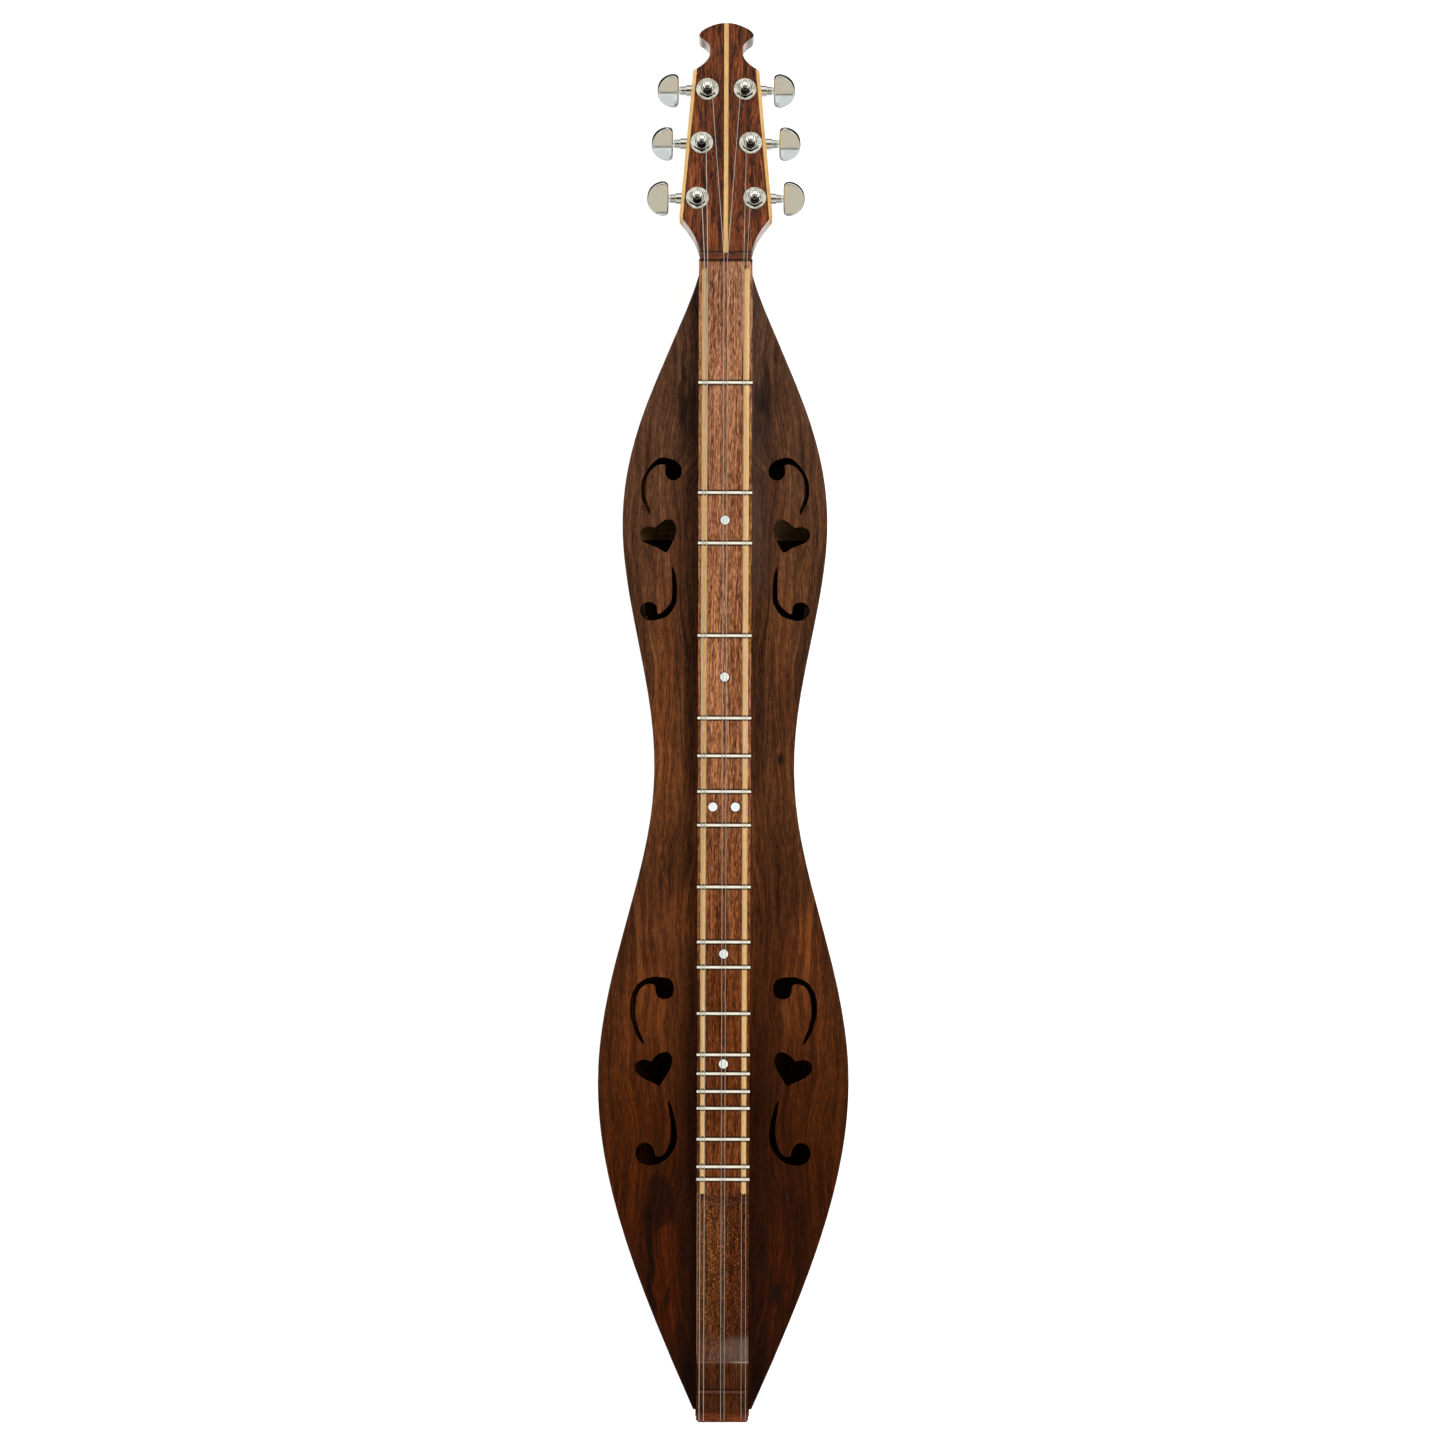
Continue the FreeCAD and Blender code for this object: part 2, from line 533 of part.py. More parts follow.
# treble half of the face outline, (x, u)
SHOULDER, CORNER = (21.3, 122.7), (29.8, 25.2)    # ends of the straight side
DOME = [(0, 155.1), (6.0, 154.4), (11.5, 152.3), (15.4, 150.0), (17.6, 147.4)]
EAR = [DOME[-1], (16.9, 145.4), (14.5, 143.6), (12.1, 141.4), (10.7, 139.0), (10.3, 136.2),
       (10.8, 133.0), (12.3, 130.0), (14.8, 127.2), (17.8, 124.9), SHOULDER]
THROAT = [CORNER, (25.2, 19.2), (21.3, 13.4), (18.4, 7.2), (16.9, 2.4), (FOOT_HALF, FOOT_U1)]


def blade_side(side):
    def flip(points):
        return [(side * x, u) for x, u in points]

    def line(*points):
        return Part.makeLine(*[V(x, u, 0) for x, u in flip(points)])

    return [plan_curve(flip(EAR)).toShape(), line(SHOULDER, CORNER),
            plan_curve(flip(THROAT)).toShape(), line(THROAT[-1], (FOOT_HALF, FOOT_U0))]


def make_blade():
    dome = plan_curve([(-x, u) for x, u in DOME[:0:-1]] + DOME)
    foot = Part.makeLine(V(FOOT_HALF, FOOT_U0, 0), V(-FOOT_HALF, FOOT_U0, 0))
    edges = [dome.toShape()] + blade_side(1) + blade_side(-1) + [foot]
    blade = on_face(prism(edges, -PEG_T, 0))
    blade = blade.cut(box(-40, 40, NUT_Y - 20, NUT_Y, -10, 90))
    # seat for the nut
    return blade.cut(box(-40, 40, NUT_Y - 0.01, NUT_Y + NUT_T, Z_FB - SEAT_DEPTH, 90))


def make_heel():
    under = to_world(0, 20.5, -PEG_T)
    inside = to_world(0, 12.0, -4)
    bottom = (NUT_Y + 7.5, 0)
    curve = side_edge([bottom, (NUT_Y + 8.4, 13), (NUT_Y + 12.0, 29), (under.y, under.z)])
    rest = side_lines([(under.y, under.z), (inside.y, inside.z),
                       (NUT_Y, Z_TOP), (NUT_Y, 0), bottom])
    return extrude_across(Part.Wire([curve] + rest), NECK_HALF)


def edge_strip_cutter(side):
    """Runs past both ends of the straight side, so the strip stops on the outline itself."""
    shoulder, corner = V(*SHOULDER), V(*CORNER)
    run = corner - shoulder
    outward = V(-run.y, run.x, 0).normalize()
    start, end = shoulder - run * .1, corner + run * .1
    points = [start + outward * 3, end + outward * 3,
              end - outward * EDGE_T, start - outward * EDGE_T]
    return on_face(poly_prism([(side * p.x, p.y) for p in points], -PEG_T - 2, 2))


def make_head():
    """Blade, heel, head block and neck in one, bored for the tuning machines."""
    block = full_region(RIB_INSET, HEAD_BLOCK_Y, RIB_END_Y, RIB_Z0, RIB_Z1)
    neck = box(-NECK_HALF, NECK_HALF, RIB_END_Y, NUT_Y + 1, RIB_Z0, RIB_Z1)
    head = fuse([make_blade(), make_heel(), block, neck])
    places = [(side * x, u) for side in (1, -1) for x, u in POSTS]
    post_holes = [on_face(Part.makeCylinder(BUSHING_R, PEG_T + 20, V(x, u, -PEG_T - 10)))
                  for x, u in places]
    screw_holes = [on_face(Part.makeCylinder(SCREW_R, 8, V(x, u + SCREW_U, -PEG_T - 1)))
                   for x, u in places]
    return head.cut(post_holes + screw_holes)


head = make_head()
edge_cutters = [edge_strip_cutter(side) for side in (1, -1)]
head_core = head.cut(edge_cutters)
centre_zone = box(-STRIP_T / 2, STRIP_T / 2, 200, 520, -50, 120)
treble_zone = box(STRIP_T / 2, 60, 200, 520, -50, 120)
parts["peghead_center_strip"] = group([head_core.common(centre_zone)])
parts["peghead_treble_half"] = group([head_core.common(treble_zone)])
parts["peghead_bass_half"] = group([head_core.common(mirror(treble_zone))])
parts["peghead_edge_strips"] = group([head.common(cutter) for cutter in edge_cutters])

# ---- tuning machines ---------------------------------------------------
# Built round a post on the Z axis, with z = 0 on the peghead face and +Y along it.
BORE_GAP = 0.05
WORM_C = 6.5                  # worm axis to post axis
WORM_W = -(PEG_T + 4.5)       # worm axis below the face
GEAR_TEETH = 14
GEAR_PITCH_R, GEAR_ROOT_R, GEAR_TIP_R = 4.2, 3.5, 4.72
TOOTH_ROOT_HALF, TOOTH_TIP_HALF = 0.50, 0.24
GEAR_T, GEAR_BORE_R = 2.4, 1.75
LEAD = 2 * math.pi * GEAR_PITCH_R / GEAR_TEETH
THREAD_TURNS = 5
THREAD_LENGTH = 7.2
WORM_CORE_R, WORM_TIP_R = 1.6, 2.85
PIVOT_R, SHAFT_R, SHAFT_END = 1.0, 2.0, 25.5
HOUSING_HALF, HOUSING_Y0, HOUSING_Y1 = 6.5, -6.5, 11.1
HOUSING_H, HOUSING_WALL = 9, 1.2
LUG_T = 1.5
WASHER_T = 0.8
HEX_FLATS, HEX_Z1 = 10.0, 2.7
BUTTON_HALF_T = 3.2
BUTTON_DOME_R = 70.0
BUTTON_REST = {"bass": (45, 44, 37), "treble": (44, 43, 36)}   # turn at rest, degrees
# (x, y) half outline of a button: round outer side, nearly flat inner side
BUTTON_OUTLINE = [(32.5, 0), (31.5, 4.75), (28.7, 8.5), (24.8, 10.7), (21.3, 11.0),
                  (19.4, 9.7), (18.85, 6.9), (18.8, 3.4), (18.8, 0)]
MAX_TURNS = 4.25
WINDING_TOP = 7.75            # windings stay below this
WINDING_STEPS = 24            # points per turn
# (radius, z)
POST_PROFILE = [
    (0, -24.2), (GEAR_BORE_R, -24.2), (GEAR_BORE_R, -19.7), (POST_R, -19.7), (POST_R, 4.1),
    (WAIST_R, 4.7), (WAIST_R, 7.9), (2.95, 8.3), (2.95, 8.7), (2.4, 8.9), (1.75, 9.05),
    (1.75, 9.3), (2.05, 9.5), (2.2, 9.8), (2.15, 10.15), (1.9, 10.5), (1.45, 10.78),
    (0.8, 10.95), (0, 11.0)]
SHAFT_PROFILE = [
    (0, -6.0), (PIVOT_R, -6.0), (PIVOT_R, -3.9), (WORM_CORE_R, -3.9), (WORM_CORE_R, 3.9),
    (SHAFT_R, 3.9), (SHAFT_R, 14.15), (2.75, 14.15), (2.85, 14.35), (2.85, 14.95),
    (2.4, 15.1), (2.4, 15.4), (2.85, 15.55), (2.85, 16.25), (2.4, 16.4), (2.4, 16.7),
    (2.75, 16.85), (2.75, 17.45), (2.2, 17.9), (SHAFT_R, 18.4), (SHAFT_R, SHAFT_END),
    (0, SHAFT_END)]


def make_post():
    string_hole = rod(0.6, (0, -6, 7.0), (0, 6, 7.0))
    return lathe(POST_PROFILE).cut(string_hole)


def make_gear():
    points = []
    half_pitch = math.pi / GEAR_TEETH
    for i in range(GEAR_TEETH):
        tooth = 2 * math.pi * i / GEAR_TEETH + half_pitch + math.pi / 2   # a gap faces +Y
        for radius, offset in ((GEAR_ROOT_R, -TOOTH_ROOT_HALF), (GEAR_TIP_R, -TOOTH_TIP_HALF),
                               (GEAR_TIP_R, TOOTH_TIP_HALF), (GEAR_ROOT_R, TOOTH_ROOT_HALF)):
            angle = tooth + math.atan2(offset, radius)
            points.append(V(radius * math.cos(angle), radius * math.sin(angle),
                            WORM_W - GEAR_T / 2))
    gear = Part.Face(closed_polygon(points)).extrude(V(0, 0, GEAR_T))
    return gear.cut(Part.makeCylinder(GEAR_BORE_R, 6, V(0, 0, WORM_W - 3)))


def make_worm():
    """Worm and shaft, turned about Z and then laid along +X."""
    foot_r = WORM_CORE_R - 0.25       # the thread is rooted inside the core
    ridge = closed_polygon([V(foot_r, 0, -0.56), V(WORM_TIP_R, 0, -0.22),
                            V(WORM_TIP_R, 0, 0.22), V(foot_r, 0, 0.56)])
    helix = Part.makeHelix(LEAD, LEAD * THREAD_TURNS, WORM_CORE_R, 0, False)
    thread = Part.Wire(helix.Edges).makePipeShell([ridge], True, True)
    # a shift by whole leads keeps the ridge in its start direction at z = 0
    mid_shift = -LEAD * THREAD_TURNS / 2
    thread.translate(V(0, 0, round(mid_shift / LEAD) * LEAD))
    thread = thread.common(Part.makeCylinder(4, THREAD_LENGTH, V(0, 0, -THREAD_LENGTH / 2)))
    worm = fuse([lathe(SHAFT_PROFILE), thread])
    # local Z -> +X, local X (thread start) -> -Y
    worm.Placement = FreeCAD.Placement(FreeCAD.Matrix(0, 0, 1, 0,
                                                      -1, 0, 0, 0,
                                                      0, -1, 0, 0,
                                                      0, 0, 0, 1))
    return worm


def worm_at(side):
    """Shaft towards its own side; turned, not mirrored, so the thread stays right handed."""
    worm = WORM.copy()
    if side < 0:
        worm.rotate(V(0, 0, 0), V(0, 1, 0), 180)
    worm.translate(V(0, WORM_C, WORM_W))
    return worm


def on_worm_axis(radius, x0, x1):
    return rod(radius, (x0, WORM_C, WORM_W), (x1, WORM_C, WORM_W))


def make_housing():
    under = -PEG_T                    # underside of the peghead
    outer = box(-HOUSING_HALF, HOUSING_HALF, HOUSING_Y0, HOUSING_Y1, under - HOUSING_H, under)
    outer = outer.makeFillet(3.0, [e for e in outer.Edges if e.BoundBox.ZLength > 5])
    outer = outer.makeFillet(1.6, [e for e in outer.Edges
                                   if e.BoundBox.ZMax < under - HOUSING_H + 0.1])
    cavity_half = HOUSING_HALF - HOUSING_WALL
    cavity = box(-cavity_half, cavity_half, HOUSING_Y0 + HOUSING_WALL,
                 HOUSING_Y1 - HOUSING_WALL, under - HOUSING_H + HOUSING_WALL, under + 1)
    cavity = cavity.makeFillet(1.5, [e for e in cavity.Edges if e.BoundBox.ZLength > 5])
    boss = fuse([on_worm_axis(3.45, 5.0, 13.7), on_worm_axis(3.2, 5.0, 14.1)])
    boss = boss.cut(box(0, 30, -20, 30, under, 10))
    lug = box(-3.2, 3.2, -12.4, -5.0, under - LUG_T, under)
    lug = lug.makeFillet(2.6, [e for e in lug.Edges
                               if e.BoundBox.ZLength > 1 and e.BoundBox.YMax < -12])
    return fuse([outer, boss, lug]).cut(cavity).cut([
        on_worm_axis(SHAFT_R + BORE_GAP, 5.0, 20),
        on_worm_axis(PIVOT_R + BORE_GAP, -6.1, -4.0),
        Part.makeCylinder(SCREW_R, 8, V(0, SCREW_U, under - 4))])


def make_button():
    """D-shaped button, both faces gently domed across Y."""
    outline = BUTTON_OUTLINE + [(x, -y) for x, y in BUTTON_OUTLINE[-2:0:-1]]
    curve = curve_through([V(x, y, 0) for x, y in outline], periodic=True)
    button = prism([curve.toShape()], -6, 6)
    for face in (1, -1):
        axis_z = face * (BUTTON_HALF_T - BUTTON_DOME_R)
        button = button.common(rod(BUTTON_DOME_R, (10, 0, axis_z), (40, 0, axis_z)))
    button = button.Solids[0]
    rims = [e for e in button.Edges
            if not (e.BoundBox.ZMin < 0 < e.BoundBox.ZMax) and e.Length > 1]
    button = button.makeFillet(1.0, rims)
    button = fuse([button, rod(2.9, (18.7, 0, 0), (20.5, 0, 0))])
    button.translate(V(0, WORM_C, WORM_W))
    return button.cut(on_worm_axis(SHAFT_R, 10, SHAFT_END))


def make_hexagon():
    corner_r = HEX_FLATS / math.sqrt(3)
    angles = [math.radians(60 * i + 30) for i in range(6)]
    nut = poly_prism([(corner_r * math.cos(a), corner_r * math.sin(a)) for a in angles],
                     WASHER_T, HEX_Z1)
    # the top corners are turned off
    return nut.common(lathe([(0, WASHER_T), (corner_r * 1.02, WASHER_T),
                             (corner_r * 1.02, HEX_Z1 - 0.55), (corner_r * 0.90, HEX_Z1),
                             (0, HEX_Z1)]))


def make_bushing():
    collar = lathe([(0, HEX_Z1), (4.2, HEX_Z1), (4.2, 3.1), (3.7, 3.5), (0, 3.5)])
    barrel = Part.makeCylinder(BUSHING_R, 10 + WASHER_T, V(0, 0, -10))
    bushing = fuse([barrel, make_hexagon(), collar])
    return bushing.cut(Part.makeCylinder(POST_R + BORE_GAP, 30, V(0, 0, -15)))


def make_washer():
    disc = lathe([(0, 0), (7.4, 0), (7.4, 0.4), (7.25, 0.62), (6.9, WASHER_T), (0, WASHER_T)])
    return disc.cut(Part.makeCylinder(BUSHING_R, 4, V(0, 0, -1)))


def make_screw():
    z = -PEG_T - LUG_T                # seat of the head on the lug
    screw = lathe([(0, z - 1.3), (1.5, z - 1.2), (2.1, z - 0.5), (2.1, z), (SCREW_R, z),
                   (SCREW_R, z + 7.2), (0, z + 8)])
    screw = screw.cut([box(-1.3, 1.3, -0.22, 0.22, z - 2, z - 0.6),
                       box(-0.22, 0.22, -1.3, 1.3, z - 2, z - 0.6)])
    screw.translate(V(0, SCREW_U, 0))
    return screw


def make_winding(diameter, side):
    radius = diameter / 2
    coil_r = wrap_radius(radius)
    pitch = diameter * 1.12
    z0 = STRING_W + diameter * 1.16
    turns = min(MAX_TURNS, (WINDING_TOP - radius - z0) / pitch)
    points = []
    for i in range(int(round(turns * WINDING_STEPS)) + 1):
        angle = 2 * math.pi * i / WINDING_STEPS
        points.append(V(coil_r * math.cos(angle), coil_r * math.sin(angle),
                        pitch * i / WINDING_STEPS))
    winding = tube(Part.Wire([curve_through(points).toShape()]), radius)
    winding.rotate(V(0, 0, 0), V(0, 0, 1), 180 if side > 0 else 0)
    winding.translate(V(0, 0, z0))
    return winding


POST, GEAR, WORM, BUTTON = make_post(), make_gear(), make_worm(), make_button()
# name of the grouped part: (shape, mirrored on the bass side)
FITTINGS = {"tuner_housings": (make_housing(), True),
            "tuner_bushings": (make_bushing(), False),
            "tuner_washers": (make_washer(), False),
            "tuner_mount_screws": (make_screw(), False)}
course_at = {(side, row): course for course, side, _, _, row in STRINGS}


def put(shape, side, row, flip=False):
    """Place a tuner piece at its post; flip mirrors it on the bass side."""
    placed = mirror(shape) if flip and side < 0 else shape.copy()
    x, u = POSTS[row]
    placed.translate(V(side * x, u, 0))
    return on_face(placed)


for side, tag in ((-1, "bass"), (1, "treble")):
    for row in range(len(POSTS)):
        name = "%s%d" % (tag, row + 1)
        button = BUTTON.copy()
        button.rotate(V(0, WORM_C, WORM_W), V(1, 0, 0), BUTTON_REST[tag][row])
        winding = make_winding(STRING_D[course_at[side, row]], side)
        parts["tuner_button_" + name] = put(button, side, row, flip=True)
        parts["worm_shaft_" + name] = put(worm_at(side), side, row)
        parts["string_post_" + name] = put(POST, side, row)
        parts["worm_gear_" + name] = put(GEAR, side, row)
        parts["string_winding_" + name] = put(winding, side, row)
for name, (shape, flip) in FITTINGS.items():
    parts[name] = group([put(shape, side, row, flip)
                         for side in (-1, 1) for row in range(len(POSTS))])

# ---- export ------------------------------------------------------------
os.makedirs("parts", exist_ok=True)
for name, shape in parts.items():
    shape.exportStep("parts/%s.step" % name)
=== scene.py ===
# A fretted three-course string instrument with six tuners, lying on its back on a paper floor.
# Y runs along the strings with the peghead at +Y, the bass half is at -X, and Z is up.
# The CAD pieces keep their meshes; this script adds materials, edge rounding and the stage.
# Scene lengths are metres. Lengths inside the materials are millimetres.
import bpy, bmesh, math
from functools import cached_property
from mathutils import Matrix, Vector

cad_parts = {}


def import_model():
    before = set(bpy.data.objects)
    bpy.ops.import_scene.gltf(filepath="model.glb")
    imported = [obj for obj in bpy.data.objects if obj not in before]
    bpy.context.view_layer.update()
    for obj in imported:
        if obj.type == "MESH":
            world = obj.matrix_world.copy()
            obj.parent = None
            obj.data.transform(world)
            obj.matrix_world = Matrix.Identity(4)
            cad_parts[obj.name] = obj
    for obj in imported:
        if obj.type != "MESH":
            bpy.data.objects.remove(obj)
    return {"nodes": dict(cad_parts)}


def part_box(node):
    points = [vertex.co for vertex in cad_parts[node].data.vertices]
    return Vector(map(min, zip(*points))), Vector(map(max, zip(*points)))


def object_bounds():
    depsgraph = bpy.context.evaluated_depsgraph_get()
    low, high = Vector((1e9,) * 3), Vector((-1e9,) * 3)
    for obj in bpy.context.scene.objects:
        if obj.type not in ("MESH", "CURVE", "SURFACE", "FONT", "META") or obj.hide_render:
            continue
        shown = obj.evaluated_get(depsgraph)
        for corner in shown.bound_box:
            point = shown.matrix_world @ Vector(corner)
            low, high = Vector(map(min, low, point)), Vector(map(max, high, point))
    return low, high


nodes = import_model()["nodes"]
CAD_BOX = [list(v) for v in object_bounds()]
scene = bpy.context.scene
TUNER_TAGS = ["bass1", "bass2", "bass3", "treble1", "treble2", "treble3"]
MM = 1000.0  # millimetres in a metre


# ------------------------------------------------------------------ node helpers
class Graph:
    """A shader tree. Arguments may be numbers, colours or sockets."""

    def __init__(self, owner, output):
        owner.use_nodes = True
        self.tree = owner.node_tree
        self.tree.nodes.clear()
        self.out = self.node(output)

    def node(self, kind):
        return self.tree.nodes.new("ShaderNode" + kind)

    def put(self, sock, v):
        if isinstance(v, (int, float)):
            sock.default_value = v
        elif isinstance(v, (tuple, list)):
            alpha = (1,) if sock.type == "RGBA" and len(v) == 3 else ()
            sock.default_value = tuple(v) + alpha
        else:
            self.tree.links.new(v, sock)

    def surface(self, shader):
        self.put(self.out.inputs[0], shader)

    def calc(self, op, a, b=0.0, c=0.0, clamp=False):
        """Math node; c=None leaves the third input as Blender makes it."""
        n = self.node("Math")
        n.operation = op
        n.use_clamp = clamp
        for i, v in enumerate((a, b, c)):
            if v is not None:
                self.put(n.inputs[i], v)
        return n.outputs[0]

    def split(self, vector):
        n = self.node("SeparateXYZ")
        self.put(n.inputs[0], vector)
        return n.outputs

    def remap(self, value, span, to=(0.0, 1.0), smooth=False):
        """Take value from the span (start, end) to the range `to`, held beyond the ends."""
        n = self.node("MapRange")
        n.interpolation_type = "SMOOTHSTEP" if smooth else "LINEAR"
        for i, v in enumerate((value, *span, *to)):
            self.put(n.inputs[i], v)
        return n.outputs[0]

    def fade(self, value, span, to=(0.0, 1.0)):
        return self.remap(value, span, to, smooth=True)

    def mix(self, f, a, b, blend="MIX"):
        n = self.node("Mix")
        n.data_type = "RGBA"
        n.blend_type = blend
        for i, v in ((0, f), (6, a), (7, b)):
            self.put(n.inputs[i], v)
        return n.outputs[2]

    def glow(self, color, strength=1.0, kind="Emission"):
        n = self.node(kind)
        self.put(n.inputs[0], color)
        self.put(n.inputs[1], strength)
        return n.outputs[0]

    def mix_shader(self, f, a, b):
        n = self.node("MixShader")
        for i, v in enumerate((f, a, b)):
            self.put(n.inputs[i], v)
        return n.outputs[0]


class Mat(Graph):
    """A Principled material; x, y and z are object coordinates in mm."""

    def __init__(self, name):
        self.material = bpy.data.materials.new(name)
        super().__init__(self.material, "OutputMaterial")
        self.principled = self.node("BsdfPrincipled")
        self.surface(self.principled.outputs[0])

    @cached_property
    def place(self):
        return self.split(self.node("TexCoord").outputs["Object"])

    @cached_property
    def x(self):
        return self.mul(self.place[0], MM)

    @cached_property
    def y(self):
        return self.mul(self.place[1], MM)

    @cached_property
    def z(self):
        return self.mul(self.place[2], MM)

    def set(self, **inputs):
        for name, v in inputs.items():
            self.put(self.principled.inputs[name.replace("_", " ")], v)

    def mul(self, a, b): return self.calc("MULTIPLY", a, b)
    def add(self, a, b): return self.calc("ADD", a, b)
    def sub(self, a, b): return self.calc("SUBTRACT", a, b)
    def size_of(self, a): return self.calc("ABSOLUTE", a)

    def length(self, a, b):
        return self.calc("SQRT", self.add(self.mul(a, a), self.mul(b, b)))

    def swing(self, noise, amount):
        """Noise centred on 0 and scaled to an amount."""
        return self.mul(self.sub(noise, 0.5), amount)

    def highest(self, values):
        top = 0.0
        for v in values:
            top = self.calc("MAXIMUM", top, v)
        return top

    def vec(self, x, y, z):
        n = self.node("CombineXYZ")
        for i, v in enumerate((x, y, z)):
            self.put(n.inputs[i], v)
        return n.outputs[0]

    def scaled(self, place, per_mm):
        return self.vec(*(self.mul(v, s) for v, s in zip(place, per_mm)))

    def noise(self, vector, scale=1.0, detail=3.0, rough=0.5, distort=0.0):
        n = self.node("TexNoise")
        self.put(n.inputs["Vector"], vector)
        n.inputs["Scale"].default_value = scale
        n.inputs["Detail"].default_value = detail
        n.inputs["Roughness"].default_value = rough
        n.inputs["Distortion"].default_value = distort
        return n.outputs[0]

    def flat_noise(self, u, v, size, level, **look):
        """Noise over a plane; size is the feature size in mm, level picks the slice."""
        return self.noise(self.vec(self.mul(u, 1 / size[0]), self.mul(v, 1 / size[1]), level),
                          **look)

    def voronoi(self, vector):
        n = self.node("TexVoronoi")
        self.put(n.inputs["Vector"], vector)
        n.inputs["Scale"].default_value = 1.0
        return n.outputs["Distance"]

    def ramp(self, f, stops):
        n = self.node("ValToRGB")
        elements = n.color_ramp.elements
        while len(elements) < len(stops):
            elements.new(0.5)
        for e, (position, color) in zip(elements, stops):
            e.position = position
            e.color = tuple(color) + (1,)
        self.put(n.inputs[0], f)
        return n.outputs[0]

    def tint(self, f, color, gain):
        """Blend by f towards color multiplied by gain."""
        return self.mix(f, color, self.mix(1.0, color, gain, "MULTIPLY"))

    def bump(self, height, strength, distance):
        n = self.node("Bump")
        n.inputs["Strength"].default_value = strength
        n.inputs["Distance"].default_value = distance
        self.put(n.inputs["Height"], height)
        self.set(Normal=n.outputs[0])

    def facing(self):
        """0 where the surface faces the viewer, towards 1 where it is seen edge-on."""
        n = self.node("LayerWeight")
        n.inputs["Blend"].default_value = 0.5
        return n.outputs["Facing"]

    def normal(self):
        return self.split(self.node("NewGeometry").outputs["True Normal"])

    def band(self, value, center, inner, outer, smooth=True):
        """1 within inner of the center, 0 beyond outer."""
        away = self.size_of(self.sub(value, center))
        return self.remap(away, (inner, outer), (1.0, 0.0), smooth)

    def blob(self, at, ellipse, soft):
        """1 inside an ellipse (centre u, v, radius u, v), 0 outside."""
        u, v, radius_u, radius_v = ellipse
        a = self.calc("DIVIDE", self.sub(at[0], u), radius_u)
        b = self.calc("DIVIDE", self.sub(at[1], v), radius_v)
        return self.fade(self.length(a, b), (1.0 - soft, 1.0 + soft * 0.4), (1.0, 0.0))

    def stain(self, color, at, ellipse, soft, strength, gain):
        return self.tint(self.mul(self.blob(at, ellipse, soft), strength), color, gain)


def srgb(*rgb):
    """8-bit display colour to linear."""
    return tuple(c / 12.92 if c <= 0.04045 else ((c + 0.055) / 1.055) ** 2.4
                 for c in (v / 255.0 for v in rgb))


def gain(*rgb):
    """Display-space brightness factors to linear."""
    return tuple(c ** 2.2 for c in rgb)


def assign(mat, *names):
    for name in names:
        slots = nodes[name].data.materials
        slots.clear()
        slots.append(mat.material)


def tagged(part):
    return [part + "_" + tag for tag in TUNER_TAGS]


# ------------------------------------------------------------------ places read from the CAD, mm
def islands(name):
    """Boxes (low, high) of the separate solids in one piece, from +Y to -Y."""
    mesh = nodes[name].data
    parent = list(range(len(mesh.vertices)))

    def root(i):
        while parent[i] != i:
            parent[i] = parent[parent[i]]
            i = parent[i]
        return i

    seen = {}
    for v in mesh.vertices:
        key = tuple(round(c * 1e5) for c in v.co)  # joins vertices that share a place
        if key in seen:
            parent[root(v.index)] = root(seen[key])
        else:
            seen[key] = v.index
    for e in mesh.edges:
        a, b = root(e.vertices[0]), root(e.vertices[1])
        if a != b:
            parent[a] = b
    boxes = {}
    for v in mesh.vertices:
        c = [x * 1000 for x in v.co]
        low, high = boxes.setdefault(root(v.index), (list(c), list(c)))
        for i in range(3):
            low[i], high[i] = min(low[i], c[i]), max(high[i], c[i])
    return sorted(boxes.values(), key=lambda box: -box[0][1])


def box_mm(name):
    return [[v * 1000 for v in corner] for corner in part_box(name)]


FRET_YS = [(low[1] + high[1]) / 2 for low, high in islands("frets")]
DOTS = [((low[0] + high[0]) / 2, (low[1] + high[1]) / 2) for low, high in islands("position_dots")]
SADDLE = box_mm("saddle")
NUT = box_mm("nut")
BOARD_LEFT = box_mm("fretboard")[0][0]
BOARD_TOP = box_mm("fretboard")[1][2]


# ------------------------------------------------------------------ wood
def by_x(m): return m.x
def by_y(m): return m.y
def by_z(m): return m.z
def from_centre(m): return m.size_of(m.x)  # mirrors the grain about the centre line


CROSSWISE = dict(across=by_y, along=by_x)


